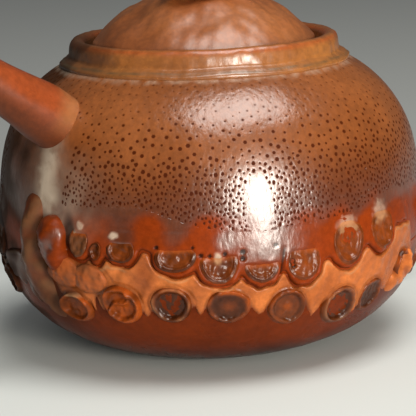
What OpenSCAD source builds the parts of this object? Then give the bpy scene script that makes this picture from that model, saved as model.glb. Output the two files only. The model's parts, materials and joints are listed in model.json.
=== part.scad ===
// Hand-built clay teapot in the form of a resting octopus.
// Millimetres, +Z up, origin at the middle of the base, spout towards -X, handle towards +X.

/* [Pot body] */
// Widest diameter of the belly
body_d = 96; // [88:1:110]
// Height of the widest line of the belly
belly_h = 31; // [28:1:34]
// Height of the shoulder that carries the neck ring
shoulder_h = 63.6; // [60:0.5:70]
// Diameter of the flat that the pot stands on
foot_d = 46; // [40:1:52]
// Thickness of the clay wall
wall = 3.4; // [2.6:0.2:4]
// Thickness of the slab under the collar
shoulder_t = 4; // [3:0.5:5]
// Thickness of the base slab
floor_t = 4; // [3:0.5:5]
// How full the belly is, where 2 is an ellipse
fullness = 2.65; // [2.4:0.05:3]
// Height of the joint between the bowl and the mantle
seam_h = 24.3; // [23:0.1:26]

/* [Neck and lid] */
// Diameter of the neck ring where it meets the shoulder
neck_d = 64.4; // [62:0.2:68]
// Diameter of the neck ring at its rim
rim_d = 59.8; // [59:0.2:61]
// Height of the neck ring
neck_h = 5.7; // [5:0.1:7]
// Thickness of the rim
rim_t = 3; // [2.4:0.2:3.6]
// Depth of the lid seat below the rim
seat_depth = 2.9; // [2:0.1:3.4]
// Diameter of the mouth inside the lid seat
mouth_d = 44; // [40:1:46]
// Space between the lid and the rim, all round
lid_gap = 1.8; // [1:0.1:2]
// Running clearance of the lid on its seat and in the mouth
lid_clear = 0.3; // [0.2:0.05:0.4]
// Rise of the lid dome above its seat
dome_h = 13; // [10:0.5:16]
// Thickness of the lid
lid_t = 3; // [2.4:0.2:3.6]
// Depth of the flange under the lid
flange_h = 6; // [4:0.5:8]
// Thickness of the flange
flange_t = 2.4; // [2:0.2:3]
// Diameter of the vent hole in the lid
vent_d = 2; // [1.4:0.1:2.6]
// Distance of the vent hole from the middle of the lid
vent_r = 13; // [11:0.5:15]

/* [Knob] */
// Thickness of the knob's coiled strand at its root
knob_t = 8; // [7:0.2:8.4]
// Thickness of the strand at its tip
knob_tip_t = 4.4; // [3.6:0.2:5]
// Distance of the strand's root from the middle of the lid
knob_reach = 12; // [11.5:0.5:13]
// How far the coil turns, in degrees
knob_turn = 430; // [400:10:450]
// How far the tip of the coil stands above the dome
knob_rise = 8; // [7.5:0.5:11]

/* [Spout] */
// Height of the spout's root on the body
spout_h = 55; // [53:0.5:56]
// Rise of the spout above level, in degrees
spout_rise = 34; // [30:1:38]
// Length of the spout from the body to its tip
spout_l = 31; // [28:0.5:36]
// Outer diameter at the root
spout_root_d = 13; // [12.4:0.2:14]
// Outer diameter at the tip
spout_tip_d = 7.8; // [7.4:0.2:8.6]
// Bore at the root
spout_bore_d = 9; // [8.4:0.2:9.4]
// Bore at the tip
spout_mouth_d = 4.8; // [4:0.2:5.2]
// Diameter of the strainer behind the spout
strainer_d = 10.6; // [10:0.2:11]
// Thickness of the strainer
strainer_t = 1.6; // [1.2:0.1:1.8]
// Diameter of each strainer hole
strainer_hole_d = 1.5; // [1.2:0.1:1.8]

/* [Handle] */
// Height of the handle's upper root
handle_top_h = 44; // [42:0.5:46]
// Height of the handle's lower root
handle_low_h = 17; // [16:0.5:19]
// Farthest reach of the handle from the middle of the pot
handle_reach = 70; // [68:1:76]
// Diameter of the handle at its upper root
handle_root_d = 10; // [9:0.5:11]
// Diameter of the handle at its lower end
handle_end_d = 6.5; // [6:0.5:8]
// How far the handle arches above its upper root
handle_arch = 1; // [0:0.5:3]
// How far the handle's bow hangs back from its top to its bottom
handle_hang = 12; // [8:1:14]

/* [Arms and suckers] */
// Width of an upper arm at its root
upper_arm_w = 10.4; // [9:0.2:11]
// Width of a lower arm at its root
lower_arm_w = 12.5; // [11:0.5:13]
// Thickness of an arm
arm_t = 3.4; // [3:0.1:4]
// How far an arm stands out past the skin of the body
arm_proud = 0.9; // [0.5:0.1:1.4]
// How far the line between the rows swings up and down
hem_swing = 2.2; // [1.6:0.1:2.6]
// Diameter of the largest suckers on the upper arms
upper_sucker_d = 9.4; // [8.4:0.2:9.8]
// Diameter of the largest suckers on the lower arms
lower_sucker_d = 10.4; // [9.4:0.2:11]
// Height of a sucker
sucker_t = 1.5; // [1.2:0.1:2]

/* [Luting] */
// Space between clay pieces that are joined with slip
lute_gap = 0.08; // [0.05:0.01:0.12]

/* [Hidden] */

$fn = 96;

body_r = body_d / 2;
foot_r = foot_d / 2;
neck_r = neck_d / 2;
rim_r = rim_d / 2;
mouth_r = mouth_d / 2;
profile_step = 1;                          // height between points of a turned outline
RADIAN = 180 / PI;                         // degrees in a radian
NUDGE = 0.01;                              // step along a curve to find its direction

// The skin is two superellipses that meet at the belly: semi-height of each, from its narrow end
upper_b = (shoulder_h - belly_h) / pow(1 - pow(neck_r / body_r, fullness), 1 / fullness);
lower_b = belly_h / pow(1 - pow(foot_r / body_r, fullness), 1 / fullness);

// The wall steps in behind the arms
step_in = arm_t - arm_proud;
step_blend = 4;                            // height over which the wall steps in
step_low_h = seam_h - lower_arm_w - 1;
step_high_h = seam_h + upper_arm_w;

// Neck and lid heights
rim_h = shoulder_h + neck_h;
seat_h = rim_h - seat_depth;
lid_r = rim_r - rim_t - lid_gap;
lid_base_h = seat_h + lid_clear;
flange_r = mouth_r - 2 * lid_clear;
dome_power = 2.6;                          // shape of the lid dome, where 2 is a parabola
vent_turn = 130;                           // direction of the vent hole, from the front

// Where the spout leaves the body
spout_root_r = skin_r(spout_h);
strainer_sink = 1.3;                       // depth of the strainer below the skin
strainer_cut = 3 * wall;                   // depth and height of the cut that clears its hole
spout_lip = 0.5;                           // round-over of the spout's lip
base_bore_r = foot_r - 2;                  // the base slab lies inside the foot of the wall

// Arms: [angle of root, angle of tip, rise of tip in arm widths, taper, number of suckers]
// Angles run from the front (-Y) towards the right (+X).
UPPER_ARMS = [[25, -83, 0.86, 0.66, 9], [117, 35, 0.58, 0.66, 7], [193, 126, 0.58, 0.66, 6],
    [253, 202, 0.58, 0.7, 4]];
LOWER_ARMS = [[-87, 26, 0.4, 0.74, 8], [35, 79, 0.24, 0.8, 3], [101, 174, 0.4, 0.74, 5],
    [184, 266, 1.36, 0.6, 5]];
ARM_RINGS = 32;
ARM_SIDES = 12;
HANDLE_RINGS = 36;
HANDLE_SIDES = 14;
KNOB_RINGS = 44;
KNOB_SIDES = 12;
TURN_SHARE = 0.16;                         // share of an arm's length that turns up at its tip
HEM_WAVES = 4;                             // waves of the line between the rows, all round
HEM_TURN = 27;                             // turn of those waves from the front, in degrees
row_gap = 0.5;                             // space between the upper and the lower row
sucker_margin = 0.3;                       // least clay between a sucker and the edge of its arm
bed_gap = lute_gap + 0.17;                 // an arm is faceted, so it beds a little off the turned wall
sucker_gap = 2 * bed_gap - lute_gap;       // a flat sucker stands a little off its round arm

function ramp(x) = let (t = max(0, min(1, x))) t * t * (3 - 2 * t);
function superellipse(a, b, d) = d >= b ? 0 : a * pow(1 - pow(abs(d) / b, fullness), 1 / fullness);

// Radius of the body's outer skin, arms included
function skin_r(z) = z > belly_h ? superellipse(body_r, upper_b, z - belly_h)
    : superellipse(body_r, lower_b, belly_h - z);
function step_depth(z) = step_in * ramp((z - step_low_h) / step_blend)
    * ramp((step_high_h + step_blend - z) / step_blend);
// Outer and inner radius of the clay wall
function wall_r(z) = skin_r(z) - step_depth(z);
function inside_r(z) = (z > belly_h ? superellipse(body_r - wall, upper_b - wall, z - belly_h)
    : superellipse(body_r - wall, lower_b - wall, belly_h - z)) - step_depth(z);

// Evenly spaced heights from a to b
function heights(a, b) = let (n = ceil((b - a) / profile_step)) [for (i = [0 : n]) a + (b - a) * i / n];
function reversed(list) = [for (i = [len(list) - 1 : -1 : 0]) list[i]];

// A point on the pot at an angle from the front, a radius and a height
function on_pot(angle, r, z) = [r * sin(angle), -r * cos(angle), z];

// Slope of the wall, in degrees above level
function wall_tilt(z) = atan((wall_r(z - profile_step / 2) - wall_r(z + profile_step / 2)) / profile_step);

// Height of the line between the two rows of arms
function hem_h(angle) = seam_h - hem_swing * cos(HEM_WAVES * (angle + HEM_TURN));

function blend(a, b, t) = a + (b - a) * t;
// Half the width of an arm, full at the root, tapered to the tip
function arm_half(w, arm, u) = w / 2 * blend(1, arm[3], u);
// Angle and height of an arm's middle line, u = 0 at the root and 1 at the tip
function arm_mid(w, arm, side, u) =
    let (row = min(1, u / (1 - TURN_SHARE)), turn = 90 * max(0, (u - 1 + TURN_SHARE) / TURN_SHARE),
         dir = sign(arm[1] - arm[0]), lean = dir * 0.5 * w / body_r * RADIAN,
         angle = blend(arm[0], arm[1] - lean, row) + lean * sin(turn),
         row_angle = blend(arm[0], arm[1] - lean, row))
    [angle, hem_h(row_angle) + side * (row_gap / 2 + arm_half(w, arm, u)) + w * arm[2] * (1 - cos(turn))];
// An arm narrows to a round end at both ends
function arm_end(u) = max(0.2, pow(1 - pow(abs(2 * u - 1), 14), 0.5));
function arm_ring(w, arm, side, u) =
    let (mid = arm_mid(w, arm, side, u), next = arm_mid(w, arm, side, min(1, u + NUDGE)),
         last = arm_mid(w, arm, side, max(0, u - NUDGE)),
         r = wall_r(mid[1]), along = (next[0] - last[0]) * r / RADIAN, up = next[1] - last[1],
         size = sqrt(along * along + up * up), half = arm_half(w, arm, u) * arm_end(u))
    [for (i = [0 : ARM_SIDES - 1])
        let (a = 360 * i / ARM_SIDES, across = half * sin(a),
             out = arm_t * arm_end(u) * pow(max(0, cos(a)), 0.5),
             z = mid[1] + across * along / size, angle = mid[0] - across * up / size / r * RADIAN)
        on_pot(angle, wall_r(z) + bed_gap + out, z)];

// A solid through a list of rings, closed at both ends
module through_rings(rings) {
    n = len(rings[0]);
    last = len(rings) - 1;
    centre = function (ring) [for (k = [0 : 2]) [for (p = ring) p[k]] * [for (p = ring) 1] / n];
    polyhedron(
        points = concat([for (ring = rings, p = ring) p], [centre(rings[0]), centre(rings[last])]),
        faces = concat(
            [for (j = [0 : last - 1], i = [0 : n - 1]) let (k = (i + 1) % n)
                each [[j * n + i, j * n + k, (j + 1) * n + k], [j * n + i, (j + 1) * n + k, (j + 1) * n + i]]],
            [for (i = [0 : n - 1]) [i, n * (last + 1), (i + 1) % n]],
            [for (i = [0 : n - 1]) [last * n + (i + 1) % n, n * (last + 1) + 1, last * n + i]]));
}

module arm_strand(w, arm, side) {
    through_rings([for (j = [0 : ARM_RINGS]) arm_ring(w, arm, side, j / ARM_RINGS)]);
}

// One sucker, a raised ring round a dished button, standing on z = 0
module sucker(r, h) {
    rotate_extrude() polygon([[0, 0], [r, 0], [r, 0.6 * h], [0.9 * r, h], [0.74 * r, h],
        [0.62 * r, 0.55 * h], [0.42 * r, 0.5 * h], [0.32 * r, 0.8 * h], [0, 0.85 * h]]);
}

// The suckers of one arm, shrinking with it
module sucker_row(w, arm, side, d) {
    n = arm[4];
    for (i = [0 : n - 1]) {
        u = (i + 0.5) / n * (1 - TURN_SHARE);
        mid = arm_mid(w, arm, side, u);
        r = min(d / 2 * blend(1, arm[3], u), arm_half(w, arm, u) - sucker_margin);
        tilt = wall_tilt(mid[1]);
        rotate([0, 0, mid[0]]) translate([0, -(wall_r(mid[1]) + bed_gap + arm_t + sucker_gap), mid[1]])
            rotate([90 - tilt, 0, 0]) sucker(r, sucker_t * r / (d / 2));
    }
}

// The outside of the body, grown by a margin, to cut what is luted onto it
module body_envelope(margin) {
    hs = heights(0, shoulder_h);
    rotate_extrude() polygon(concat([[0, -margin]], [for (z = hs) [wall_r(z) + margin, z]],
        [[0, shoulder_h + margin]]));
}

// Places its children on the spout's axis, z = 0 at the skin and +z outwards
module on_spout() {
    translate([-spout_root_r, 0, spout_h]) rotate([0, -90 + spout_rise, 0]) children();
}

module base_slab() {
    color("#4a2214") cylinder(r = base_bore_r - lute_gap, h = floor_t);
}

module bowl_wall() {
    outer = [for (z = heights(0, seam_h)) [wall_r(z), z]];
    inner = [for (z = heights(floor_t, seam_h)) [max(base_bore_r, inside_r(z)), z]];
    color("#7a3012") rotate_extrude() polygon(concat([[base_bore_r, 0]], outer, reversed(inner)));
}

module mantle() {
    ceiling_h = shoulder_h - shoulder_t;
    outer = [for (z = heights(seam_h, shoulder_h)) [wall_r(z), z]];
    inner = [for (z = heights(seam_h, ceiling_h)) [inside_r(z), z]];
    color("#a05c34") difference() {
        rotate_extrude() polygon(concat(outer, [[mouth_r, shoulder_h], [mouth_r, ceiling_h]],
            reversed(inner)));
        on_spout() translate([0, 0, -strainer_cut])
            cylinder(d = strainer_d + 2 * lute_gap, h = 2 * strainer_cut);
    }
}

module neck_ring() {
    bead = 0.8;                            // round-over of the rim
    collar = 0.3;                          // swell of the ring under its rim
    color("#a0683c") rotate_extrude() polygon([[mouth_r, shoulder_h], [neck_r, shoulder_h],
        [rim_r + collar, shoulder_h + 0.6 * neck_h], [rim_r, rim_h - bead], [rim_r - bead, rim_h],
        [rim_r - rim_t + bead, rim_h], [rim_r - rim_t, rim_h - bead], [rim_r - rim_t, seat_h],
        [mouth_r, seat_h]]);
}

module spout() {
    root_r = spout_root_d / 2;
    tip_r = spout_tip_d / 2;
    bore_r = spout_bore_d / 2;
    mouth_bore_r = spout_mouth_d / 2;
    sink = -root_r;                        // the root starts inside the skin and is cut to it
    color("#a8481e") difference() {
        on_spout() rotate_extrude() polygon([[bore_r, sink], [root_r, sink], [root_r, 0.1 * spout_l],
            [0.97 * root_r, 0.2 * spout_l], [blend(root_r, tip_r, 0.3), 0.36 * spout_l],
            [blend(root_r, tip_r, 0.66), 0.55 * spout_l], [blend(root_r, tip_r, 0.9), 0.78 * spout_l],
            [tip_r, 0.97 * spout_l], [tip_r - spout_lip, spout_l], [mouth_bore_r, spout_l],
            [blend(bore_r, mouth_bore_r, 0.7), 0.5 * spout_l]]);
        body_envelope(lute_gap);
    }
}

module spout_strainer() {
    ring_r = 0.33 * strainer_d;
    color("#8a4422") on_spout() translate([0, 0, -strainer_sink - strainer_t]) difference() {
        cylinder(d = strainer_d, h = strainer_t);
        translate([0, 0, -1]) cylinder(d = strainer_hole_d, h = strainer_t + 2, $fn = 24);
        for (i = [0 : 5]) rotate([0, 0, 60 * i]) translate([ring_r, 0, -1])
            cylinder(d = strainer_hole_d, h = strainer_t + 2, $fn = 24);
    }
}

// A round strand along a curve: f(u) gives [x, z] in a plane, half(u) its radius there
module flat_strand(f, half, rings, sides) {
    through_rings([for (j = [0 : rings])
        let (u = j / rings, p = f(u), a = f(max(0, u - NUDGE)), b = f(min(1, u + NUDGE)),
             d = (b - a) / norm(b - a), r = half(u))
        [for (i = [0 : sides - 1]) let (t = 360 * i / sides)
            [p[0] - d[1] * r * cos(t), r * sin(t), p[1] + d[0] * r * cos(t)]]]);
}

// A cubic curve through four guide points
function bezier(p, u) = pow(1 - u, 3) * p[0] + 3 * pow(1 - u, 2) * u * p[1]
    + 3 * (1 - u) * u * u * p[2] + pow(u, 3) * p[3];

module handle() {
    // The guide points stand out so far that the curve's middle comes to the reach
    low_r = skin_r(handle_low_h) + arm_proud;
    guide = (8 * (handle_reach - handle_root_d / 2) - skin_r(handle_top_h) - low_r) / 6;
    path = [[skin_r(handle_top_h) - handle_root_d / 2, handle_top_h],
        [guide - handle_hang / 2, handle_top_h + handle_arch],
        [guide + handle_hang / 2, handle_low_h + handle_arch / 4],
        [low_r - handle_end_d / 2, handle_low_h]];
    color("#a04a20") difference() {
        flat_strand(function (u) bezier(path, u),
            function (u) blend(handle_root_d, handle_end_d, u) / 2, HANDLE_RINGS, HANDLE_SIDES);
        body_envelope(lute_gap);
    }
}

module upper_arm_front() { color("#b4562a") arm_strand(upper_arm_w, UPPER_ARMS[0], 1); }
module upper_arm_right() { color("#b4562a") arm_strand(upper_arm_w, UPPER_ARMS[1], 1); }
module upper_arm_back() { color("#b4562a") arm_strand(upper_arm_w, UPPER_ARMS[2], 1); }
module upper_arm_left() { color("#b4562a") arm_strand(upper_arm_w, UPPER_ARMS[3], 1); }
module lower_arm_front() { color("#c06a30") arm_strand(lower_arm_w, LOWER_ARMS[0], -1); }
module lower_arm_right() { color("#c06a30") arm_strand(lower_arm_w, LOWER_ARMS[1], -1); }
module lower_arm_back() { color("#c06a30") arm_strand(lower_arm_w, LOWER_ARMS[2], -1); }
module lower_arm_left() { color("#c06a30") arm_strand(lower_arm_w, LOWER_ARMS[3], -1); }

module upper_suckers_front() { color("#5a2a1a") sucker_row(upper_arm_w, UPPER_ARMS[0], 1, upper_sucker_d); }
module upper_suckers_right() { color("#5a2a1a") sucker_row(upper_arm_w, UPPER_ARMS[1], 1, upper_sucker_d); }
module upper_suckers_back() { color("#5a2a1a") sucker_row(upper_arm_w, UPPER_ARMS[2], 1, upper_sucker_d); }
module upper_suckers_left() { color("#5a2a1a") sucker_row(upper_arm_w, UPPER_ARMS[3], 1, upper_sucker_d); }
module lower_suckers_front() { color("#4a261a") sucker_row(lower_arm_w, LOWER_ARMS[0], -1, lower_sucker_d); }
module lower_suckers_right() { color("#4a261a") sucker_row(lower_arm_w, LOWER_ARMS[1], -1, lower_sucker_d); }
module lower_suckers_back() { color("#4a261a") sucker_row(lower_arm_w, LOWER_ARMS[2], -1, lower_sucker_d); }
module lower_suckers_left() { color("#4a261a") sucker_row(lower_arm_w, LOWER_ARMS[3], -1, lower_sucker_d); }

// Height of the lid's outer face at a distance from the middle
function dome_z(r) = lid_base_h + lid_t / 2 + (dome_h - lid_t / 2) * (1 - pow(r / lid_r, dome_power));
function under_dome_z(r) = max(lid_base_h, dome_z(r) - lid_t);

module lid_dome() {
    steps = 12;
    outer = [for (i = [0 : steps]) let (r = lid_r * i / steps) [r, dome_z(r)]];
    inner = [for (i = [0 : steps]) let (r = flange_r * i / steps)
        [r, i == steps ? lid_base_h : under_dome_z(r)]];
    color("#a5673a") difference() {
        rotate_extrude() polygon(concat(outer, [[lid_r, lid_base_h]], reversed(inner)));
        rotate([0, 0, vent_turn]) translate([0, -vent_r, lid_base_h])
            cylinder(d = vent_d, h = 2 * dome_h, $fn = 32);
    }
}

module lid_flange() {
    color("#8a4a28") difference() {
        translate([0, 0, lid_base_h - flange_h]) cylinder(r = flange_r, h = flange_h);
        translate([0, 0, lid_base_h - flange_h - 1]) cylinder(r = flange_r - flange_t, h = flange_h + 2);
    }
}

// The knob is an arm coiled on the dome, its root towards the spout and its tip raised in the middle
module knob() {
    tip_r = 1.2;                           // distance of the tip from the middle
    start = -82;                           // direction of the root, from the front
    closing = 1.35;                        // how early the coil closes in, where 1 is evenly
    lift_from = 0.3;                       // share of the strand that lies on the dome
    lift_over = 0.6;                       // share over which it then rises
    half = function (u) blend(knob_t, knob_tip_t, u) / 2 * arm_end(0.04 + 0.96 * u);
    path = function (u) let (r = tip_r + (knob_reach - tip_r) * pow(1 - u, closing),
        slope = (dome_z(r - profile_step / 2) - dome_z(r + profile_step / 2)) / profile_step,
        z = dome_z(r) + (blend(knob_t, knob_tip_t, u) / 2 + lute_gap) * sqrt(1 + slope * slope))
        on_pot(start + knob_turn * u, r, z + knob_rise * ramp((u - lift_from) / lift_over));
    color("#a5502a") through_rings([for (j = [0 : KNOB_RINGS])
        let (u = j / KNOB_RINGS, p = path(u), d = path(min(1, u + NUDGE)) - path(max(0, u - NUDGE)),
             t = d / norm(d), side = cross(t, [0, 0, 1]) / norm(cross(t, [0, 0, 1])), up = cross(side, t),
             r = half(u))
        [for (i = [0 : KNOB_SIDES - 1])
            let (a = 360 * i / KNOB_SIDES) p + r * (cos(a) * side + sin(a) * up)]]);
}

base_slab();
bowl_wall();
mantle();
neck_ring();
spout();
spout_strainer();
handle();
upper_arm_front();
upper_arm_right();
upper_arm_back();
upper_arm_left();
lower_arm_front();
lower_arm_right();
lower_arm_back();
lower_arm_left();
upper_suckers_front();
upper_suckers_right();
upper_suckers_back();
upper_suckers_left();
lower_suckers_front();
lower_suckers_right();
lower_suckers_back();
lower_suckers_left();
lid_dome();
lid_flange();
knob();
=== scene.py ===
# %% [markdown]
# # A hand-built, wood-fired clay teapot
# The pot is a pinched and paddled bowl with a full, pricked upper body laid over it. Rolled arms with
# suckers lie round the joint, a plain lid sits in a low collar, and an arm coiled on top of the lid is
# the knob. The spout is a short rolled tube. The CAD model gives every place and size. This script gives
# the surfaces: each piece is a mesh worked out in numpy, and each clay is a small tree of shader nodes.

# %% The frame
import json
import math

import bpy
import numpy as np
from mathutils import Matrix, Vector
from mathutils.bvhtree import BVHTree
from mathutils.geometry import delaunay_2d_cdt

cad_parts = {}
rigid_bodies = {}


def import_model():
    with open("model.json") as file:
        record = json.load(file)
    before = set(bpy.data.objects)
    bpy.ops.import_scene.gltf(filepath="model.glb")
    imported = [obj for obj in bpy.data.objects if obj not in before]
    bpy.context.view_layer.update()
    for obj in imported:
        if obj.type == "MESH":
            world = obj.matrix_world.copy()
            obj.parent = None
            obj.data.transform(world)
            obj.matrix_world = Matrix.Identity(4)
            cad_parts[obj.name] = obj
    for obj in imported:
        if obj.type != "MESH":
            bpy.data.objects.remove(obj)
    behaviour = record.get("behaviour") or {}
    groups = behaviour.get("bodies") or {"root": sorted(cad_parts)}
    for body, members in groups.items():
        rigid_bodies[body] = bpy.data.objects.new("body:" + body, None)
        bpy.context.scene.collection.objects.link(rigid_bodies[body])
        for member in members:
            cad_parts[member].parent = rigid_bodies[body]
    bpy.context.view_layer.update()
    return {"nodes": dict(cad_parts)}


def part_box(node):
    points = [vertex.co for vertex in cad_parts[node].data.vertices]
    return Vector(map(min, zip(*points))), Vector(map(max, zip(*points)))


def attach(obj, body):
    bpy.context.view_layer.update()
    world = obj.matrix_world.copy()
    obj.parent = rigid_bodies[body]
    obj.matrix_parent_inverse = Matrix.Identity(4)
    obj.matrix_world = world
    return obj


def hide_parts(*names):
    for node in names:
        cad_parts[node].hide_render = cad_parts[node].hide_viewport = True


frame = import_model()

MM = 0.001                 # metres; all sizes are in mm until they reach a mesh, a node or the camera
rng = np.random.default_rng(7)

# %% [markdown]
# ## The camera
# The photograph looks down a little on the pot, from between the front and the spout, through a long lens
# that cuts off the top and both sides. The camera could be moved by eye until the picture fits. Here it
# stands at an angle round the pot, a distance from its axis and a height, and then has an aim and a roll,
# because each of these numbers changes one thing in the picture. No lens shift is needed.

# %% The camera
W, H = 416, 416            # size of the photograph in pixels
SENSOR = 36.0              # mm
camera_turn = -40.0        # degrees from the front; minus is towards the spout
camera_distance = 419.9    # mm from the pot's axis
camera_height = 118.4      # mm above the table
camera_pitch = 12.01       # degrees down
camera_roll = 1.94         # degrees, clockwise from behind the camera
aim_left = 0.04            # degrees
camera_lens = 161.5        # mm

turn = math.radians(camera_turn)
yaw = math.radians(camera_turn + 180 + aim_left)
pitch = math.radians(camera_pitch)
roll = math.radians(camera_roll)
forward = Vector((math.sin(yaw) * math.cos(pitch), -math.cos(yaw) * math.cos(pitch), -math.sin(pitch)))
level = forward.cross(Vector((0, 0, 1))).normalized()
upright = level.cross(forward)
right = level * math.cos(roll) - upright * math.sin(roll)
up = level * math.sin(roll) + upright * math.cos(roll)

camera_data = bpy.data.cameras.new("camera")
camera_data.sensor_fit = "AUTO"
camera_data.sensor_width = SENSOR
camera_data.lens = camera_lens
camera_data.clip_start = 0.02   # metres
camera = bpy.data.objects.new("camera", camera_data)
bpy.context.scene.collection.objects.link(camera)
bpy.context.scene.camera = camera
eye = Vector((camera_distance * math.sin(turn), -camera_distance * math.cos(turn), camera_height)) * MM
camera.matrix_world = Matrix.Translation(eye) @ Matrix((right, up, -forward)).transposed().to_4x4()
bpy.context.view_layer.update()
print("camera at", [round(v, 3) for v in eye])

# %% [markdown]
# ## Points of the photograph
# A few named points fix what stands in view: the rim and the base for the camera, the spout's root, and
# the suckers that show. One function sends a ray through such a point to what carries the piece, so a
# sucker lands where the photograph shows it, whatever the curve of the clay behind it.

# %% Image points
POINTS = {
    "rim_left": (72, 40), "rim_right": (337, 31), "base_bottom": (201, 359), "bulge_right": (413, 262),
    "spout_root": (60, 114),
    "upper_1": (78, 241), "upper_3": (120, 250), "upper_4": (175, 256), "upper_5": (219, 263),
    "upper_6": (263, 262), "upper_7": (305, 260), "upper_8": (350, 241), "upper_9": (383, 227),
    "lower_2": (76, 307), "lower_3": (122, 305), "lower_4": (171, 305), "lower_5": (229, 307),
    "lower_6": (288, 307), "lower_7": (340, 305), "lower_8": (370, 294),
}


def ray_through(x, y):
    """The camera's place, and the direction in which a point of the photograph lies."""
    length = max(W, H)
    direction = Vector((x - W / 2 + camera_data.shift_x * length, H / 2 - y + camera_data.shift_y * length,
                        -length * camera_data.lens / camera_data.sensor_width))
    return eye, (camera.matrix_world.to_3x3() @ direction).normalized()


PASSES_POT = (0.3, 0.6, 0.002)   # metres: from, to and step of the search along a ray that misses


def place(name, tree):
    """Where the ray through a named point meets the tree, or the place nearest the ray."""
    start, direction = ray_through(*POINTS[name])
    hit = tree.ray_cast(start, direction)[0]
    if hit is None:
        steps = [start + direction * along for along in np.arange(*PASSES_POT)]
        hit = min((tree.find_nearest(step) for step in steps), key=lambda found: found[3])[0]
    return hit


print(len(POINTS), "image points")

# %% [markdown]
# ## The form of the body, read from the frame
# The CAD wall is turned, and steps in behind the arms. Rays towards the axis read its radius at each
# height, so the CAD model stays the one source of the form. The skin that shows is the same wall with that
# step filled, because on the pot the clay of the upper body runs down over the arms in one skin.

# %% Reading the wall
def tree_of(*names):
    """CAD nodes as one tree that rays can meet."""
    points, faces = [], []
    for name in names:
        mesh = frame["nodes"][name].data
        base = len(points)
        points += [v.co for v in mesh.vertices]
        faces += [[base + i for i in p.vertices] for p in mesh.polygons]
    return BVHTree.FromPolygons(points, faces)


wall_tree = tree_of("bowl_wall", "mantle")
seam_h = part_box("mantle")[0].z / MM         # mm, where the bowl ends and the upper body starts
shoulder_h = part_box("mantle")[1].z / MM     # mm, where the upper body ends under the collar
rim_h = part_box("neck_ring")[1].z / MM       # mm, top of the collar


def wall_profile(z, inside=False):
    """Radius of the turned wall at a height, in mm, seen from outside or from the axis."""
    start = Vector((0, 0 if inside else -0.1, z * MM))
    hit = wall_tree.ray_cast(start, Vector((0, -1 if inside else 1, 0)))[0]
    return -hit.y / MM


wall_z = np.concatenate([np.arange(0.1, shoulder_h - 0.1, 0.5), [shoulder_h - 0.05]])
wall_radius = np.array([wall_profile(z) for z in wall_z])
print("wall read at", len(wall_z), "heights, widest", round(float(wall_radius.max()), 2), "mm")

# %% Soft steps and spots
def smooth(t):
    """0 below 0 and 1 above 1, with a soft S between."""
    t = np.clip(t, 0, 1)
    return t * t * (3 - 2 * t)


def rise(value, start, over):
    """0 up to a start, and 1 from a distance over past it."""
    return smooth((value - start) / over)


def fall(value, end, over):
    """1 until a distance over before an end, and 0 from the end on."""
    return smooth((end - value) / over)


def spot(value, middle, width):
    """1 at a middle, fading away on both sides within about two widths."""
    return np.exp(-((value - middle) / width) ** 2)


print("a spot at one width from its middle:", round(float(spot(1, 0, 1)), 2))

# %% The skin over the step
STEP = 2.5                 # mm, how far the wall steps in behind the arms
STEP_BLEND = 5.5           # mm, height over which the wall steps in, with room to spare
STEP_BELOW = 1.5           # mm, how far below the lower row the step ends
ROW_UP, ROW_DOWN = 10.4, 12.5   # mm, widths of the upper and the lower row of arms
FIT_REACH = 9              # mm of known wall above and below that fill a blend
SWELL, SWELL_H, SWELL_REACH = 0.4, 30, 5.5   # mm: the skin swells a little over the arms

step_foot, step_head = seam_h - ROW_DOWN - STEP_BELOW, seam_h + ROW_UP
stepped = (wall_z > step_foot + STEP_BLEND) & (wall_z < step_head)
plain = (wall_z < step_foot) | (wall_z > step_head + STEP_BLEND)
skin_radius = wall_radius + STEP * stepped
known = stepped | plain
for i in np.flatnonzero(~known):
    near = known & (np.abs(wall_z - wall_z[i]) < FIT_REACH)
    skin_radius[i] = np.polyval(np.polyfit(wall_z[near] - wall_z[i], skin_radius[near], 3), 0)
skin_radius += SWELL * spot(wall_z, SWELL_H, SWELL_REACH)


def skin(z):
    """Radius of the smooth outer skin at a height, with the step behind the arms filled in."""
    return np.interp(z, wall_z, skin_radius)


belly_r = float(skin(np.linspace(25, 35, 50)).max())
DEGREE = math.pi / 180 * belly_r   # mm along the belly for one degree of turn
print("belly radius", round(belly_r, 2), "mm, seam at", round(seam_h, 2), "mm")

# %% [markdown]
# ## A hand-made surface
# Nothing on the pot is truly round. A noise could move each piece, but pieces that touch would then part.
# Here a sum of low waves, whole in number round the pot so that they close, moves every skin by a few
# tenths of a millimetre. All pieces use the same waves, so they stay together.

# %% Unevenness
WAVES = [(n, rng.uniform(-0.09, 0.09), rng.uniform(0, 2 * math.pi), 0.34 / (1 + n) ** 0.8)
         for n in (2, 3, 3, 4, 5, 7, 9, 12, 16, 21, 27)]   # waves round the pot, lean, phase, size in mm


def uneven(psi, z):
    """How far the hand moved the skin, in mm, at an angle in degrees and a height in mm."""
    total = np.zeros(np.broadcast(psi, z).shape)
    for n, lean, phase, size in WAVES:
        total = total + size * np.cos(n * np.radians(psi) + lean * (1 + n / 8) * z + phase)
    return total


def on_pot(psi, r, z):
    """Points at an angle in degrees from the front towards the handle, a radius and a height."""
    a = np.radians(psi)
    return np.stack(np.broadcast_arrays(r * np.sin(a), -r * np.cos(a), z), -1)


def angle_of(points):
    """The angle of each point, as on_pot takes it."""
    return np.degrees(np.arctan2(points[:, 0], -points[:, 1]))


belly_moved = np.abs(uneven(np.arange(360), seam_h)).max()
print("the hand moved the belly by up to", round(float(belly_moved), 2), "mm")
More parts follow.
